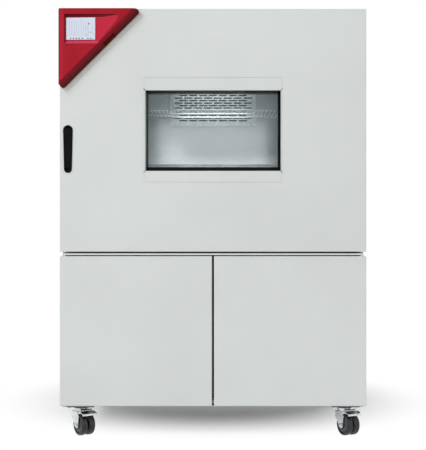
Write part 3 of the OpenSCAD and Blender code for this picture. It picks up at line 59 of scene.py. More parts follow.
def castor_places():
    """Each castor's swivel axis in X and Y, and its swing about Z in degrees, from the frame's joints."""
    places = {}
    for name in ("front_left", "front_right", "rear_left", "rear_right"):
        x, y = JOINTS["swivel_" + name]["pos_m"][:2]
        across, away = JOINTS["roll_" + name]["axis"][:2]
        places[name] = (x / MM, y / MM, math.degrees(math.atan2(away, across)))
    return places


DOOR_LO = box_mm("door_skin")[0]
PANE_LO, PANE_HI = box_mm("window_panes")
CONSOLE_LO, CONSOLE_HI = box_mm("console_housing")
SCREEN_LO, SCREEN_HI = box_mm("touch_screen")
FACE_Y, REAR_Y, ROOF_Z = DOOR_LO[1], box_mm("rear_panel")[1][1], box_mm("roof_panel")[1][2]
CONSOLE_CORNER = np.array([CONSOLE_LO[0], CONSOLE_LO[1], CONSOLE_HI[2]])
SLOPE_SUM = 304.1                       # across plus down from the console's corner, on its sloping edge
SLOPE_U, SLOPE_V = (X + Z) / math.sqrt(2), (X - Z) / math.sqrt(2)
CASTORS = castor_places()
AXLE_Z, TRAIL = 40.0, 24.0              # the wheels' axle above the floor, and behind its swivel axis
AXLE_END, WHEEL_SIDE = 34.9, 22.6       # the nut's seat and the wheel's outer face, from the castor's middle
BOLT_X, BOLT_Y, BOLT_Z = 40, 30, 106.0  # the bolts' heads under a castor's plate


# Shader maths

def srgb(red, green, blue, alpha=1.0):
    """A colour as it is seen on a screen, 0 to 255, as linear values."""
    parts = np.array([red, green, blue]) / 255
    linear = np.where(parts <= 0.04045, parts / 12.92, ((parts + 0.055) / 1.055) ** 2.4)
    return (*linear.tolist(), alpha)


def tone(color, step):
    """A colour that many steps of 255 lighter, or darker where the step is negative."""
    return srgb(*[max(c + step, 0) for c in color])


def share(color, part):
    """A colour at that part of its own brightness on a screen."""
    return srgb(*[c * part for c in color])


class Value:
    """A socket's value. Python maths on it adds the Math nodes that work it out."""

    def __init__(self, finish, socket):
        self.finish, self.socket = finish, socket

    def _maths(self, operation, first, second=0.0):
        return self.finish.node("ShaderNodeMath", {"operation": operation}, {0: first, 1: second})

    def __add__(self, other):
        return self._maths("ADD", self, other)

    def __sub__(self, other):
        return self._maths("SUBTRACT", self, other)

    def __mul__(self, other):
        return self._maths("MULTIPLY", self, other)

    def __truediv__(self, other):
        return self._maths("DIVIDE", self, other)

    def __rsub__(self, other):
        return self._maths("SUBTRACT", other, self)

    def __lt__(self, other):
        return self._maths("LESS_THAN", self, other)

    def __gt__(self, other):
        return self._maths("GREATER_THAN", self, other)

    def __mod__(self, other):
        return self._maths("FLOORED_MODULO", self, other)

    def __abs__(self):
        return self._maths("ABSOLUTE", self)

    __radd__, __rmul__ = __add__, __mul__


class Finish:
    """A node material on a Principled shader. Constants are set on the shader's own sockets."""

    def __init__(self, name, color, roughness=0.5, metallic=0.0, **constants):
        self.material = bpy.data.materials.new(name)
        self.material.use_nodes = True
        self.tree = self.material.node_tree
        self.shader = self.tree.nodes["Principled BSDF"]
        self.set("Base Color", srgb(*color))
        self.set("Roughness", roughness)
        self.set("Metallic", metallic)
        for key, value in constants.items():
            self.set(key.replace("_", " "), value)
        self.place = self.node("ShaderNodeTexCoord", {}, {}, "Object")

    def set(self, socket, value):
        """Puts a constant or a worked-out value into one of the shader's sockets."""
        if isinstance(value, Value):
            self.tree.links.new(value.socket, self.shader.inputs[socket])
        else:
            self.shader.inputs[socket].default_value = value

    def node(self, kind, settings, sockets, out=0):
        """Any node: its type, its settings, the values or links of its sockets, and the output to use."""
        made = self.tree.nodes.new(kind)
        for key, value in settings.items():
            setattr(made, key, value)
        for key, value in sockets.items():
            if isinstance(value, Value):
                self.tree.links.new(value.socket, made.inputs[key])
            else:
                made.inputs[key].default_value = value
        return Value(self, made.outputs[out])

    def mapped(self, scale=(1, 1, 1), shift=(0, 0, 0)):
        """Object coordinates, scaled and shifted."""
        return self.node("ShaderNodeMapping", {}, {"Vector": self.place, "Scale": scale, "Location": shift})

    def axes(self):
        """The object coordinates as three values, x, y and z in metres."""
        parts = self.node("ShaderNodeSeparateXYZ", {}, {0: self.place})
        return [Value(self, parts.socket.node.outputs[i]) for i in range(3)]

    def noise(self, scale, detail=2.0, roughness=0.5, stretch=(1, 1, 1)):
        """Cloudy noise from 0 to 1, with scale cells in a metre and detail octaves."""
        return self.node("ShaderNodeTexNoise", {}, {"Vector": self.mapped(stretch), "Scale": scale,
                                                    "Detail": detail, "Roughness": roughness})

    def fit(self, value, low, high, to_low=0.0, to_high=1.0):
        """A smooth step from one range to another, held at its ends."""
        return self.node("ShaderNodeMapRange", {"interpolation_type": "SMOOTHSTEP"},
                         {0: value, 1: low, 2: high, 3: to_low, 4: to_high})

    def mix(self, factor, first, second):
        """One colour or the other by a factor from 0 to 1."""
        return self.node("ShaderNodeMix", {"data_type": "RGBA"}, {0: factor, 6: first, 7: second}, 2)

    def bump(self, height, strength, distance):
        """Gives the surface the relief of a height value; the distance is in metres."""
        self.set("Normal", self.node("ShaderNodeBump", {}, {"Strength": strength, "Distance": distance,
                                                            "Height": height}))


# Finishes

def powder_coat(name, color, roughness=0.42):
    """Sprayed and baked paint: a very fine orange peel, with faint cloudy changes of tone and gloss."""
    f = Finish(name, color, roughness, 0.0, Specular_IOR_Level=0.35)
    f.set("Base Color", f.mix(f.fit(f.noise(2.2, 3.0), 0.3, 0.7), tone(color, -3), tone(color, 2)))
    f.set("Roughness", f.fit(f.noise(9.0, 2.0), 0.3, 0.7, roughness - 0.04, roughness + 0.05))
    f.bump(f.noise(420.0, 2.0), 0.12, 0.0004)
    return f.material


def brushed_steel(name, color, roughness, grain):
    """Rolled stainless sheet: fine lines along one axis, stretched far longer than they are wide."""
    f = Finish(name, color, roughness, 1.0)
    lines = f.noise(1.0, 3.0, 0.6, grain)
    f.set("Roughness", f.fit(lines, 0.25, 0.75, roughness - 0.05, roughness + 0.07))
    f.set("Base Color", f.mix(f.fit(f.noise(4.0, 2.0), 0.3, 0.7), tone(color, -7), srgb(*color)))
    f.bump(lines, 0.25, 0.0002)
    return f.material


def chamber_steel_painted_light(name, color, roughness, grain):
    """Bright rolled steel of the chamber, with painted light: a painted reflection pales it low down and at
    the left, painted shade dims it higher up and turns the duct at the back dull grey. Each pair of limits,
    in metres, is where one tone fades into the next."""
    right, above, upper, duct = (-0.17, -0.06), (1.03, 1.09), (1.12, 1.36), (0.034, 0.04)
    f = Finish(name, color, roughness, 0.8)
    x, y, z = f.axes()
    lines = f.noise(1.0, 3.0, 0.6, grain)
    # painted reflection pales the lower left of the walls, and painted shade dims them higher up in cloudy
    # patches
    low = f.mix(f.fit(x, *right) * f.fit(z, *above), share(color, 1.085), share(color, 0.86))
    wall_painted_light = f.mix(f.fit(z + f.noise(3.2, 1.0) * 0.3, *upper), low, share(color, 0.84))
    # painted shade: the duct behind the grille is dull dark grey
    f.set("Base Color", f.mix(f.fit(y, *duct), wall_painted_light, srgb(24, 26, 27)))
    f.set("Roughness", f.fit(lines, 0.25, 0.75, roughness - 0.04, roughness + 0.06))
    f.bump(lines, 0.22, 0.0002)
    return f.material


def zinc_plate(name, color=(196, 200, 203), roughness=0.3):
    """Bright zinc plating: pale metal with a faint cloudy passivation."""
    f = Finish(name, color, roughness, 1.0)
    cloud = f.noise(60.0, 4.0, 0.6)
    f.set("Base Color", f.mix(f.fit(cloud, 0.35, 0.65), tone(color, -16), srgb(*color)))
    f.set("Roughness", f.fit(f.noise(35.0, 3.0), 0.3, 0.7, roughness - 0.08, roughness + 0.1))
    f.bump(cloud, 0.08, 0.0003)
    return f.material


def plastic_cloud(f, color):
    """The faint patches of tone that moulded plastic has."""
    return f.mix(f.fit(f.noise(14.0, 2.0), 0.3, 0.7), tone(color, -4), tone(color, 3))


def moulded(name, color, roughness, grain=900.0, relief=0.2, gloss=0.2):
    """Moulded plastic with a fine spark-eroded grain."""
    f = Finish(name, color, roughness, 0.0, Specular_IOR_Level=gloss)
    speckle = f.noise(grain, 2.0, 0.6)
    f.set("Base Color", plastic_cloud(f, color))
    f.set("Roughness", f.fit(speckle, 0.3, 0.7, roughness - 0.05, roughness + 0.06))
    f.bump(speckle, relief, 0.0002)
    return f.material


def console_moulding_painted_light(name, color, painted_light_red, ledge_painted_highlight, edge_color):
    """The console's red plastic, with painted light and shade: painted light makes the recess paler, a
    painted highlight pales its ledge and its left border, and painted shade darkens its walls, the wedge
    under its top and the sloping chamfer. Distances are in metres from the top left corner."""
    recess_left, recess_top, floor_left, floor_top = 0.0175, 0.021, 0.019, 0.0225
    screen_top, screen_right, shade_end, ledge_top = 0.0325, 0.14, 0.236, 0.1205
    chamfer_from, chamfer_soft, chamfer_to = 0.2675, 0.0015, 0.312
    f = Finish(name, color, 0.36, 0.0, Specular_IOR_Level=0.16)
    x, y, z = f.axes()
    left, front, top = (CONSOLE_CORNER * MM).tolist()
    across, down = x - left, top - z
    slope = across + down
    # painted shade over the chamfer, which faces down and to the right, darkest at its outer edge
    chamfer = f.fit(slope, chamfer_from, chamfer_from + chamfer_soft)
    edge = f.mix(f.fit(slope, chamfer_from, chamfer_to), srgb(*edge_color), share(edge_color, 0.3))
    sunk = (y > front + 0.0004) * (across > recess_left) * (down > recess_top)
    floor = sunk * (down > floor_top) * (across > floor_left)
    # painted highlight along the left border
    border_painted_highlight = f.mix(f.fit(across, 0.02, 0.0, 0.0, 0.6), plastic_cloud(f, color), srgb(*painted_light_red))
    # painted shade in the wedge under the recess top; painted light on the rest of the recess floor
    shaded = down < f.fit(across, screen_right, shade_end, screen_top, floor_top)
    satin = f.mix(shaded, srgb(*painted_light_red), share(color, 0.6))
    # painted highlight on the ledge that faces up
    hollow = f.mix(down > ledge_top, satin, srgb(*ledge_painted_highlight))
    # painted shade on the recess walls
    face = f.mix(floor, f.mix(sunk, border_painted_highlight, share(color, 0.62)), hollow)
    f.set("Base Color", f.mix(chamfer, face, edge))
    f.bump(f.noise(700.0, 2.0, 0.6), 0.14, 0.0002)
    return f.material


def handled_metal(f, color):
    """Copper or brass that is browner where it has been handled, and that pattern as a value."""
    tarnish = f.noise(26.0, 4.0, 0.6)
    return f.mix(f.fit(tarnish, 0.42, 0.72), srgb(*color), share(color, 0.62)), tarnish


def fitting_metal(name, metal, plastic, plastic_from):
    """Brass fittings, and above a given height in metres the black plastic of the supply gland."""
    f = Finish(name, metal, 0.3)
    is_plastic = f.fit(f.axes()[2], plastic_from - 0.002, plastic_from + 0.002)
    warm, tarnish = handled_metal(f, metal)
    f.set("Base Color", f.mix(is_plastic, warm, srgb(*plastic)))
    f.set("Metallic", 1.0 - is_plastic)
    f.set("Roughness", f.fit(tarnish, 0.3, 0.7, 0.28, 0.46))
    return f.material


def drawn_pipe(name, color):
    """Drawn copper: warm metal with a satin skin."""
    f = Finish(name, color, 0.28, 1.0)
    warm, tarnish = handled_metal(f, color)
    f.set("Base Color", warm)
    f.set("Roughness", f.fit(tarnish, 0.3, 0.7, 0.28, 0.48))
    return f.material


def rigid_foam(name, color):
    """Sawn insulation foam: small cells, paler and darker in patches."""
    f = Finish(name, color, 0.9)
    cells = f.node("ShaderNodeTexVoronoi", {}, {"Vector": f.mapped(), "Scale": 260.0})
    f.set("Base Color", f.mix(f.fit(f.noise(22.0, 3.0), 0.3, 0.7), tone(color, -22), srgb(*color)))
    f.bump(cells, 0.5, 0.0008)
    return f.material


def fin_pack(name, color, pitch):
    """A stack of thin aluminium fins: painted shade darkens the gaps in a fine saw at the fins' pitch, in
    metres across.
    """
    f = Finish(name, color, 0.42, 1.0)
    gap_shade = f.fit(abs(f.axes()[0] / pitch % 1.0 - 0.5), 0.24, 0.4)
    # painted shade between the fins
    f.set("Base Color", f.mix(gap_shade, srgb(*color), share(color, 0.35)))
    f.bump(1.0 - gap_shade, 0.6, 0.0006)
    return f.material


def tyre_rubber(name, color, roughness, dusty=26):
    """Rubber or silicone: dull, a little dusty in patches."""
    f = Finish(name, color, roughness)
    f.set("Base Color", f.mix(f.fit(f.noise(70.0, 4.0, 0.65), 0.5, 0.8), srgb(*color), tone(color, dusty)))
    f.bump(f.noise(500.0, 2.0), 0.25, 0.0003)
    return f.material


def window_glass(name):
    """Clear pane: almost all light goes through, more is mirrored at a slant."""
    f = Finish(name, (206, 222, 220), 0.02, 0.0, IOR=1.5)
    slant = f.node("ShaderNodeLayerWeight", {}, {"Blend": 0.25}, "Facing")
    f.set("Alpha", f.fit(slant, 0.0, 1.0, 0.03, 0.5))
    f.material.surface_render_method = "BLENDED"
    return f.material


paint = powder_coat("cabinet_paint", (221, 225, 223))
paint_low = powder_coat("service_door_paint", (223, 227, 225))
frame_paint = powder_coat("base_frame_paint", (190, 193, 191), 0.5)
# painted reflection: pale grey for the strip on the left reveal
reveal_painted_reflection = powder_coat("window_reveal_grey", (178, 186, 186), 0.5)
enamel = powder_coat("compressor_enamel", (24, 25, 28), 0.28)
liner_steel = chamber_steel_painted_light("chamber_steel_painted_light", (224, 231, 234), 0.2, (6, 6, 900))
grille_steel = brushed_steel("grille_steel", (196, 204, 205), 0.24, (900, 6, 6))
shelf_steel = brushed_steel("shelf_steel", (205, 210, 212), 0.26, (8, 700, 8))
duct_steel = brushed_steel("duct_steel", (186, 191, 193), 0.34, (700, 8, 8))
zinc = zinc_plate("zinc_plated_steel")
bright_zinc = zinc_plate("castor_zinc", (222, 225, 227), 0.22)
# painted reflection: the castor plates are a darker copy of the castor zinc, for the dark underside they
# mirror
shaded_zinc = zinc_plate("castor_plate_painted_reflection", (118, 122, 124), 0.3)
galvanised = zinc_plate("galvanised_sheet", (170, 175, 178), 0.45)
red = console_moulding_painted_light("red_moulding", (166, 21, 38), (196, 40, 65), (216, 70, 98), (142, 10, 26))
# painted shade: the console's left side bead is a darker copy of its red
side_bead_painted_shade = moulded("console_bead_red", (104, 8, 24), 0.4, 700.0, 0.14, 0.14)
lens_red = moulded("sensor_lens", (104, 8, 18), 0.25, 1400.0, 0.03, 0.3)
black = moulded("black_moulding", (20, 20, 21), 0.45)
cup_black = moulded("handle_cup_black", (12, 12, 12), 0.3, 900.0, 0.1, 0.15)
lever_black = moulded("handle_lever_black", (9, 8, 7), 0.46, 1100.0, 0.3, 0.1)
duct_black = moulded("duct_part_black", (26, 27, 28), 0.5)
frame_black = moulded("window_frame_black", (9, 11, 11), 0.4, 900.0, 0.1, 0.12)
blade_black = moulded("fan_blade_black", (30, 31, 33), 0.5)
# painted shade: a dark sheet behind the grille's slots
slot_shade_black = moulded("slot_painted_shade", (26, 28, 28), 0.9, 500.0, 0.4, 0.1)
disc_grey = moulded("wheel_disc_grey", (84, 86, 88), 0.4)
screen_white = moulded("screen_surface", (214, 222, 236), 0.18, 1400.0, 0.02, 0.4)
rocker_green = moulded("rocker_green", (22, 92, 48), 0.25, 1200.0, 0.05, 0.4)
foam = rigid_foam("insulation_foam", (233, 222, 184))
gasket_rubber = tyre_rubber("door_seal_silicone", (76, 79, 82), 0.5)
seal_beige = tyre_rubber("console_seal_silicone", (203, 190, 150), 0.5)
plug_rubber = tyre_rubber("plug_silicone", (168, 170, 170), 0.55)
wheel_rubber = tyre_rubber("castor_rubber", (22, 22, 22), 0.36, 10)
evaporator_fins = fin_pack("evaporator_fins", (190, 194, 196), 0.004)
condenser_fins = fin_pack("condenser_fins", (176, 180, 182), 0.003)
copper = drawn_pipe("copper_pipe", (198, 122, 82))
brass = fitting_metal("brass_fitting", (196, 168, 96), (22, 22, 23), 0.4)
glass = window_glass("window_glass")

FINISH_OF = {
    paint: ["side_panel_left", "side_panel_right", "roof_panel", "rear_panel", "rear_grille", "machine_deck",
            "front_collar", "door_skin", "window_surround"],
    paint_low: ["service_door_left", "service_door_right"],
    frame_paint: ["base_frame"],
    liner_steel: ["chamber_liner", "baffle_plate", "door_liner", "port_sleeve"],
    grille_steel: ["intake_grille"],
    shelf_steel: ["shelf_rails", "shelf_upper", "shelf_lower"],
    duct_steel: ["fan_motor", "steam_boiler"],
    duct_black: ["circulation_fan", "heater_coil"],
    zinc: ["fixing_screws", "latch_keeper", "latch_slide", "hinge_brackets"],
    shaded_zinc: ["caster_plates"],
    bright_zinc: ["caster_fork_front_left", "caster_fork_front_right", "caster_fork_rear_left",
                  "caster_fork_rear_right", "brake_pedal_left", "brake_pedal_right"],
    galvanised: ["control_box"],
    evaporator_fins: ["evaporator"],
    condenser_fins: ["condenser"],
    foam: ["insulation", "door_core"],
    frame_black: ["window_frame"],
    cup_black: ["handle_cup"],
    lever_black: ["handle_lever"],
    black: ["wall_spacers", "switch_bezel", "condenser_shroud"],
    blade_black: ["condenser_fan"],
    red: ["console_housing"],
    screen_white: ["touch_screen"],
    glass: ["window_panes"],
    gasket_rubber: ["door_gasket"],
    plug_rubber: ["port_plug"],
    copper: ["refrigerant_lines"],
    brass: ["rear_connections"],
    enamel: ["compressor"],
    rocker_green: ["switch_rocker"],
    wheel_rubber: ["wheels_front_left", "wheels_front_right", "wheels_rear_left", "wheels_rear_right"],
}
for material, names in FINISH_OF.items():
    for name in names:
        slots = frame["nodes"][name].data.materials
        slots.clear()
        slots.append(material)


# Surfaces from arrays

CREASE = math.radians(35)               # edges sharper than this stay sharp
CORNER_POINTS = 5


def grid_faces(rows, columns):
    """The four corners of every face between neighbours of a grid, whose last row joins its first."""
    i, j = np.meshgrid(np.arange(rows), np.arange(columns - 1), indexing="ij")
    near, far = i * columns + j, (i + 1) % rows * columns + j
    return np.stack([near, far, far + 1, near + 1], -1).reshape(-1, 4)


def new_piece(name, grids, finish, body):
    """One piece from grids of points in mm. Points that meet are merged, so seams and poles are closed, and
    the normals are turned outwards."""
    points, faces, count = [], [], 0
    for grid in grids:
        rows, columns = grid.shape[:2]
        points.append(grid.reshape(-1, 3))
        faces.append(grid_faces(rows, columns) + count)
        count += rows * columns
    mesh = bpy.data.meshes.new(name)
    mesh.from_pydata((np.concatenate(points) * MM).tolist(), [], np.concatenate(faces).tolist())
    shell = bmesh.new()
    shell.from_mesh(mesh)
    bmesh.ops.remove_doubles(shell, verts=shell.verts, dist=2e-6)
    bmesh.ops.recalc_face_normals(shell, faces=shell.faces)
    shell.to_mesh(mesh)
    shell.free()
    mesh.shade_smooth()
    mesh.set_sharp_from_angle(angle=CREASE)
    mesh.materials.append(finish)
    made = bpy.data.objects.new(name, mesh)
    bpy.context.scene.collection.objects.link(made)
    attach(made, body)


def turned(profile, place, axis, count):
    """A profile of (radius, height) turned round an axis: place + r cos(t) u + r sin(t) v + h axis."""
    axis = np.asarray(axis, float)
    u = np.cross(axis, X if abs(axis[0]) < 0.9 else Y)
    u /= np.linalg.norm(u)
    v = np.cross(axis, u)
    r, h = np.asarray(profile, float).T
    t = np.linspace(0, 2 * np.pi, count, endpoint=False)[:, None]
    radial = np.cos(t)[..., None] * u + np.sin(t)[..., None] * v
    return np.asarray(place, float) + radial * r[None, :, None] + h[None, :, None] * axis


def round_outline(w, h, r):
    """Points of a rectangle with round corners: corner centre + r (cos(a), sin(a)) over a quarter turn."""
    a = np.linspace(0, np.pi / 2, CORNER_POINTS)
    turns = (np.arange(4)[:, None] * np.pi / 2 + a).ravel()
    signs = np.array([[1, 1], [-1, 1], [-1, -1], [1, -1]]).repeat(CORNER_POINTS, 0)
    return signs * [w / 2 - r, h / 2 - r] + r * np.stack([np.cos(turns), np.sin(turns)], -1)


def plate(place, u, v, w, h, r, thick, edge=0.3):
    """A plate with round corners and a rounded edge: its outline at four heights, drawn in by the edge at the
    top, between its middle at the bottom and at the top."""
    place, u, v = (np.asarray(a, float) for a in (place, u, v))
    out = np.cross(u, v)
    rows = []
    for inset, height in ((None, 0), (0, 0), (0, thick - edge), (edge, thick), (None, thick)):
        flat = np.zeros((4 * CORNER_POINTS, 2))
        if inset is not None:
            flat = round_outline(w - 2 * inset, h - 2 * inset, max(r - inset, 0.01))
        rows.append(place + flat[:, :1] * u + flat[:, 1:] * v + height * out)
    return np.stack(rows, 1)


def swung(points, castor):
    """Points of a castor's own frame, turned by its swing about Z and moved to its swivel axis."""
    x, y, swing = castor
    c, s = math.cos(math.radians(swing)), math.sin(math.radians(swing))
    return points @ np.array([[c, s, 0], [-s, c, 0], [0, 0, 1]]) + [x, y, 0]


# Profiles of turned pieces, as (radius, height) in mm

SCREW_HEAD = [(0, 0.9), (1.1, 0.9), (1.5, 2.2), (2.6, 2.0), (3.6, 1.2), (4.0, 0.0), (0, 0.0)]
HEX_NUT = [(0, 4.6), (2.6, 4.6), (2.6, 5.2), (5.6, 5.2), (6.4, 4.6), (6.4, 0.6), (5.6, 0.0), (0, 0.0)]
AXLE_NUT = [(0, 6.4), (2.2, 6.0), (3.9, 4.4), (4.4, 4.0), (6.6, 3.6), (6.9, 3.2), (6.9, 0.4), (6.6, 0.0),
            (0, 0.0)]
WHEEL_DISC = [(14.2, 0.0), (14.2, 2.6), (15.2, 3.0), (24.0, 1.6), (26.0, 2.9), (27.4, 2.9), (28.4, 1.4),
              (28.4, 0.0), (14.2, 0.0)]
PIVOT_CAP = [(0, 3.4), (6.5, 3.4), (9.6, 2.4), (10.8, 0.0), (0, 0.0)]
WATER_THREAD = [(12.0, 6.0), *[(13.9 if k % 2 else 12.9, 6.5 + 0.9 * k) for k in range(15)], (12.0, 19.6),
                (12.0, 6.0)]
EARTH_STUD = [(0, 12.0), (2.4, 12.0), (3.0, 11.4), (3.0, 5.8), (6.4, 5.2), (6.4, 0.8), (9.0, 0.8), (9.0, 0.0),
              (0, 0.0)]
DOOR_BUFFER = [(0, 3.0), (2.6, 3.0), (3.4, 2.2), (3.8, 0.0), (0, 0.0)]
PLUG_GRIP = [(14, 0.0), (15, 1.2), (17, 1.6), (19, 1.2), (20, 0.0), (14, 0.0)]
PIPE_LAGGING = [(7.2, 0.0), (16, 0.0), (17, 1.5), (17, 238), (16, 240), (7.2, 240), (7.2, 0.0)]
LENS = [(0, 0.7), (2.2, 0.5), (2.8, 0.2), (2.8, -2), (0, -2)]
LENS_RING = [(2.9, -1), (2.9, 0.5), (3.5, 0.6), (4.1, 0.2), (4.1, -1), (2.9, -1)]


# Console

SCREEN_LEAN, SCREEN_THICK = math.atan(10.0 / 203), 2.8
SCREEN_U = np.array([math.cos(SCREEN_LEAN), -math.sin(SCREEN_LEAN), 0.0])
SCREEN_CORNER = np.array([SCREEN_LO[0], SCREEN_HI[1] - SCREEN_THICK * math.cos(SCREEN_LEAN), SCREEN_LO[2]])
LENS_PLACE = (24, 0, -135)              # from the console's corner

# Each part of the picture on the screen: its colour, roughness and thickness, and its tiles as (across, up,
# width, height, corner radius) in mm from the screen's bottom left corner
PICTURE = {
    "display_field": ((219, 225, 238), 0.16, 0.12, [(54, 42, 93, 64, 0.4)]),
    "display_bars": ((203, 211, 229), 0.16, 0.2,
                     [(12 + 8.6 * i, 42, 3.6, 58, 0.3) for i in range(9)] + [(95.5, 41, 2.4, 48, 0.3)]),
    "display_buttons": ((70, 74, 84), 0.2, 0.3,
                        [(u, 5.6, 4.2, 4.4, 0.9) for u in (16.5, 27, 37.5, 48, 59.5, 80.5, 91.5)]
                        + [(84.5, 59, 5.4, 4.8, 1.8)]),
    "display_marks": ((168, 174, 190), 0.2, 0.3, [(75, 44.5, 4.2, 3.4, 0.5), (89, 28, 13, 2.2, 0.5),
                                                  (75.5, 17.5, 4.0, 3.2, 0.5), (54.5, 73.5, 4, 2, 0.5)]),
    "display_rim": ((120, 92, 112), 0.3, 0.3, [(107.6, 41, 0.8, 81.6, 0.3), (54, 0.4, 107.8, 0.8, 0.3)]),
}


def screen_tile(across, up, w, h, r, thick):
    """A thin tile on the touch screen's face, centred that many mm from its bottom left corner."""
    return plate(SCREEN_CORNER + across * SCREEN_U + up * Z, SCREEN_U, Z, w, h, r, thick, edge=0.04)


def console_pieces():
    """The picture on the touch screen, and the console's seal, side bead, lens and insert cover."""
    for name, (color, roughness, thick, tiles) in PICTURE.items():
        finish = Finish(name, color, roughness).material
        new_piece(name, [screen_tile(*tile, thick) for tile in tiles], finish, "door")
    middle = CONSOLE_CORNER + SLOPE_SUM / 2 * (X - Z)
    seal_thick = 4
    seal = plate((middle[0], FACE_Y - seal_thick, middle[2]), SLOPE_U, SLOPE_V, w=381.8, h=5.6, r=2.0,
                 thick=seal_thick, edge=1.2)
    new_piece("console_seal", [seal], seal_beige, "door")
    ends, back_gap, overlap = 9, 1, 0.2
    side_h, side_w = CONSOLE_HI[2] - CONSOLE_LO[2] - ends, CONSOLE_HI[1] - CONSOLE_LO[1] - back_gap
    place = (CONSOLE_CORNER[0] + overlap, FACE_Y - side_w / 2, CONSOLE_CORNER[2] - side_h / 2)
    bead = plate(place, Z, Y, side_h, side_w, r=3, thick=CONSOLE_CORNER[0] - DOOR_LO[0] + overlap, edge=2.2)
    new_piece("console_side_bead", [bead], side_bead_painted_shade, "door")
    lens = CONSOLE_CORNER + LENS_PLACE
    new_piece("sensor_lens", [turned(LENS, lens, -Y, 24), turned(LENS_RING, lens, -Y, 24)], lens_red, "door")
    inset, pocket_depth = 16, 19
    pocket = middle - inset * (X - Z)
    cover = plate((pocket[0], FACE_Y - pocket_depth, pocket[2]), SLOPE_U, Y, w=53.6, h=15, r=1.5, thick=2.0)
    new_piece("interface_cover", [cover], frame_black, "door")


# Chamber and window

def grille_painted_shade():
    """A dark sheet of painted shade behind the slotted grille, so that the slots look dark, with a round hole
    at the intake. Each point of the outer edge is at (cos t, sin t) times the smaller of w / (2 |cos t|) and
    h / (2 |sin t|), and each point of the hole at (cos t, sin t) times its radius."""
    margin, shade_thick, hole_radius, fan_radius, points = 2.0, 1.6, 84.0, 95.0, 96
    (left, _, low), (right, back, high) = box_mm("intake_grille")
    w, h = right - left - 2 * margin, high - low - 2 * margin
    fan_z = box_mm("circulation_fan")[0][2] + fan_radius
    t = np.linspace(0, 2 * np.pi, points, endpoint=False) + np.arctan2(h, w)
    away = np.stack([np.cos(t), np.zeros_like(t), np.sin(t)], -1)
    reach = np.minimum(w / 2 / np.abs(away[:, 0]).clip(1e-6), h / 2 / np.abs(away[:, 2]).clip(1e-6))
    outer, inner = away * reach[:, None] + (low + high) / 2 * Z, away * hole_radius + fan_z * Z
    near, far = (back - shade_thick) * Y, back * Y
    rows = np.stack([outer + near, inner + near, inner + far, outer + far, outer + near], 1)
    # painted shade: the dark sheet stands for the shadow behind the slots
    new_piece("grille_painted_shade", [rows], slot_shade_black, "cabinet")


def window_trim():
    """Black beads against the outer pane, at its foot and right side, partly painted shade as they are wide
    to stand for the dark sill and the shaded right reveal; a pale strip of painted reflection on the left
    reveal; and the mitre gaps at the surround's corners."""
    (left, glass_y, sill), (right, _, head) = PANE_LO, PANE_HI
    side_w, foot_h, clearance, contact = 7.8, 16.5, 0.4, 0.1
    bead_y, middle = glass_y - contact, (sill + head) / 2
    section = {"r": 0.5, "thick": 3.8, "edge": 1.2}
    # partly painted shade: the foot and right beads are wide to stand for the dark sill and the shaded right
    # reveal
    foot = plate((0, bead_y, sill + foot_h / 2), X, Z, right - left - clearance, foot_h, **section)
    side = plate((right - side_w / 2, bead_y, middle), X, Z, side_w, head - sill - clearance, **section)
    new_piece("glazing_beads", [foot, side], frame_black, "door")
    # painted reflection: a pale strip on the left reveal where light is mirrored
    reflection_strip = plate((left, (FACE_Y + glass_y) / 2, middle), Y, Z, glass_y - FACE_Y - 5, head - sill - 1, r=1.0,
                  thick=1.4, edge=0.5)
    new_piece("left_reveal_painted_reflection", [reflection_strip], reveal_painted_reflection, "door")
    from_corner, gaps = 4.2, []
    for sx, corner_x in ((-1, left), (1, right)):
        for sz, corner_z in ((-1, sill), (1, head)):
            u = (sx * X + sz * Z) / math.sqrt(2)
            place = np.array([corner_x, FACE_Y, corner_z]) + from_corner * u
            gaps.append(plate(place, u, np.cross(-Y, u), w=9, h=2.0, r=0.6, thick=0.25, edge=0.1))
    new_piece("mitre_gaps", gaps, frame_black, "door")


# Castors and cabinet

WATER_PLACE, WATER_APART = (19.2, 0, 16.6), 70       # the water connections, from their node's lowest corner
STUD_ACROSS, STUD_UP = 60, 180                       # the earth stud, from the first water connection


def castor_pieces():
    """Bolts under the plates, axle nuts and wheel discs, each riding the body that carries it."""
    bolts = []
    for x, y, _ in CASTORS.values():
        bolts += [turned(HEX_NUT, (x + sx * BOLT_X, y + sy * BOLT_Y, BOLT_Z), -Z, 6)
                  for sx in (-1, 1) for sy in (-1, 1)]
    new_piece("castor_bolts", bolts, bright_zinc, "cabinet")
    axle = np.array([0, -TRAIL, AXLE_Z])
    for name, castor in CASTORS.items():
        nuts = [swung(turned(AXLE_NUT, axle + s * AXLE_END * X, s * X, 6), castor) for s in (-1, 1)]
        new_piece("axle_nuts_" + name, nuts, bright_zinc, "fork_" + name)
        discs = [swung(turned(WHEEL_DISC, axle + s * WHEEL_SIDE * X, s * X, 48), castor) for s in (-1, 1)]
        new_piece("wheel_discs_" + name, discs, disc_grey, "wheels_" + name)


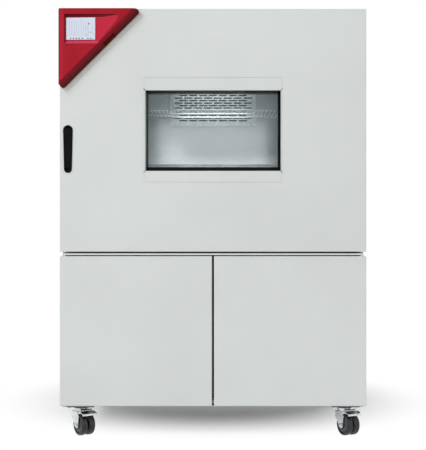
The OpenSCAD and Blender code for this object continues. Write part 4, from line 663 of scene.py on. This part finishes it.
def cabinet_fittings():
    """Screws of the rear panel, the cap over the door's pivot, water threads and earth stud."""
    side_x, top_z = 549, 1569
    spots = [(sx * side_x, z) for sx in (-1, 1) for z in range(170, 1571, 175)]
    spots += [(x, top_z) for x in range(-420, 421, 168)]
    screws = [turned(SCREW_HEAD, (x, REAR_Y, z), Y, 14) for x, z in spots]
    new_piece("rear_panel_screws", screws, zinc, "cabinet")
    pivot_x, pivot_y = (value / MM for value in JOINTS["door_swing"]["pos_m"][:2])
    cap = turned(PIVOT_CAP, (pivot_x, pivot_y, ROOF_Z), Z, 32)
    new_piece("hinge_cap", [cap], black, "cabinet")
    water_x, _, water_z = box_mm("rear_connections")[0] + WATER_PLACE
    threads = [turned(WATER_THREAD, (x, REAR_Y, water_z), Y, 32) for x in (water_x, water_x + WATER_APART)]
    new_piece("water_threads", threads, brass, "cabinet")
    stud = turned(EARTH_STUD, (water_x + STUD_ACROSS, REAR_Y, water_z + STUD_UP), Y, 12)
    new_piece("earth_stud", [stud], zinc, "cabinet")


def compartment_trim():
    """The black seal along the machine deck and the black post between the service doors with their buffers,
    seal and post partly painted shade that darkens the gap under the door and the seam; the grip of the
    port's plug and the lagging of the suction pipe."""
    deck, rail_y = box_mm("machine_deck")[0], box_mm("base_frame")[0][1]
    # partly painted shade: a black seal that darkens the gap under the door
    seal = plate((0, deck[1] + 8, DOOR_LO[2] - 4), X, Z, w=1112, h=4, r=1, thick=6, edge=1)
    new_piece("deck_seal", [seal], frame_black, "cabinet")
    foot, head = 140, deck[2]
    # partly painted shade: the post is black to darken the seam between the service doors
    post = plate((0, rail_y, (foot + head) / 2), X, Z, w=14, h=head - foot, r=1, thick=12.3, edge=1)
    new_piece("centre_post", [post], frame_black, "cabinet")
    buffers = [turned(DOOR_BUFFER, (x, rail_y, z), -Y, 20) for x in (0, -60, 60) for z in (117, 134)]
    new_piece("door_buffers", buffers, wheel_rubber, "cabinet")
    plug_lo, plug_hi = box_mm("port_plug")
    _, plug_y, plug_z = (plug_lo + plug_hi) / 2
    grip = turned(PLUG_GRIP, (plug_lo[0], plug_y, plug_z), -X, 40)
    new_piece("port_plug_grip", [grip], plug_rubber, "plug")
    lagging = turned(PIPE_LAGGING, (-318, 130, 432), Z, 32)
    new_piece("suction_pipe_lagging", [lagging], black, "cabinet")


console_pieces()
grille_painted_shade()
window_trim()
castor_pieces()
cabinet_fittings()
compartment_trim()


# Floor, lamps and camera

def plain_floor():
    """A pale floor, matt under the object so that it takes its shadow, and plain white further away."""
    half, centre_y, fade, lift = 30.0, 0.5, (0.42, 1.02), 0.12
    mesh = bpy.data.meshes.new("floor")
    corners = [(-half, -half, 0), (half, -half, 0), (half, half, 0), (-half, half, 0)]
    mesh.from_pydata(corners, [], [(0, 1, 2, 3)])
    floor = bpy.data.objects.new("floor", mesh)
    bpy.context.scene.collection.objects.link(floor)
    f = Finish("floor_white", (244, 244, 244), 0.9)
    rays = f.node("ShaderNodeLightPath", {}, {}).socket.node.outputs
    seen, mirrored, through = (Value(f, rays["Is " + kind + " Ray"]) for kind in
                               ("Camera", "Glossy", "Transmission"))
    place = f.mapped(shift=(0, -centre_y, 0))
    distance = f.node("ShaderNodeVectorMath", {"operation": "LENGTH"}, {0: place}, "Value")
    plain = Value(f, f.shader.outputs[0])
    glow = f.node("ShaderNodeEmission", {}, {"Color": (1, 1, 1, 1), "Strength": 1.0})
    matt = f.node("ShaderNodeMixShader", {}, {0: lift, 1: plain, 2: glow})
    shown = f.node("ShaderNodeMixShader", {}, {0: f.fit(distance, *fade), 1: matt, 2: glow})
    both = f.node("ShaderNodeMixShader", {}, {0: seen + mirrored + through, 1: plain, 2: shown})
    f.tree.links.new(both.socket, f.tree.nodes["Material Output"].inputs[0])
    mesh.materials.append(f.material)


def area_lamp(name, place, target, size, power):
    """A soft square lamp at place that faces target. Sizes in m, power in watts."""
    data = bpy.data.lights.new(name, "AREA")
    data.shape, data.size, data.energy = "SQUARE", size, power
    lamp = bpy.data.objects.new(name, data)
    bpy.context.scene.collection.objects.link(lamp)
    lamp.location = place
    aim = Vector(target) - Vector(place)
    lamp.rotation_euler = aim.to_track_quat("-Z", "Y").to_euler()


def studio_world(ambient):
    """Even light of the ambient strength, and plain white where it is seen, mirrored or behind glass."""
    world = bpy.data.worlds.new("studio")
    world.use_nodes = True
    bpy.context.scene.world = world
    tree = world.node_tree
    rays = tree.nodes.new("ShaderNodeLightPath")
    light, white = tree.nodes["Background"], tree.nodes.new("ShaderNodeBackground")
    light.inputs[0].default_value = white.inputs[0].default_value = (1, 1, 1, 1)
    light.inputs[1].default_value, white.inputs[1].default_value = ambient, 1.0
    either = [tree.nodes.new("ShaderNodeMath") for _ in range(2)]
    blend = tree.nodes.new("ShaderNodeMixShader")
    for start, end in ((rays.outputs["Is Camera Ray"], either[0].inputs[0]),
                       (rays.outputs["Is Glossy Ray"], either[0].inputs[1]),
                       (either[0].outputs[0], either[1].inputs[0]),
                       (rays.outputs["Is Transmission Ray"], either[1].inputs[1]),
                       (either[1].outputs[0], blend.inputs[0]),
                       (light.outputs[0], blend.inputs[1]),
                       (white.outputs[0], blend.inputs[2]),
                       (blend.outputs[0], tree.nodes["World Output"].inputs[0])):
        tree.links.new(start, end)


def front_camera(place, lens):
    """The camera that looks straight at the doors, as in the photograph."""
    camera = bpy.data.objects.new("camera", bpy.data.cameras.new("camera"))
    bpy.context.scene.collection.objects.link(camera)
    camera.location = place
    camera.rotation_euler = (math.pi / 2, 0, 0)
    camera.data.lens = lens
    camera.data.sensor_width = 36.0
    bpy.context.scene.camera = camera


plain_floor()
studio_world(ambient=0.38)
area_lamp("key_lamp", (-5.4, -5.6, 6.2), (0, -0.3, 0.8), 2.6, 415)
area_lamp("fill_lamp", (4.2, -5.4, 2.2), (0, -0.3, 0.8), 3.2, 45)
area_lamp("back_lamp", (3.0, 5.6, 2.2), (0, 0.3, 0.8), 3.0, 104)
area_lamp("chamber_lamp", (0, -0.16, 1.428), (0, -0.17, 1.0), 0.3, 1.4)
front_camera((0.0, -4.5575, 0.785), lens=89.08)
bpy.context.scene.view_settings.view_transform = "Standard"
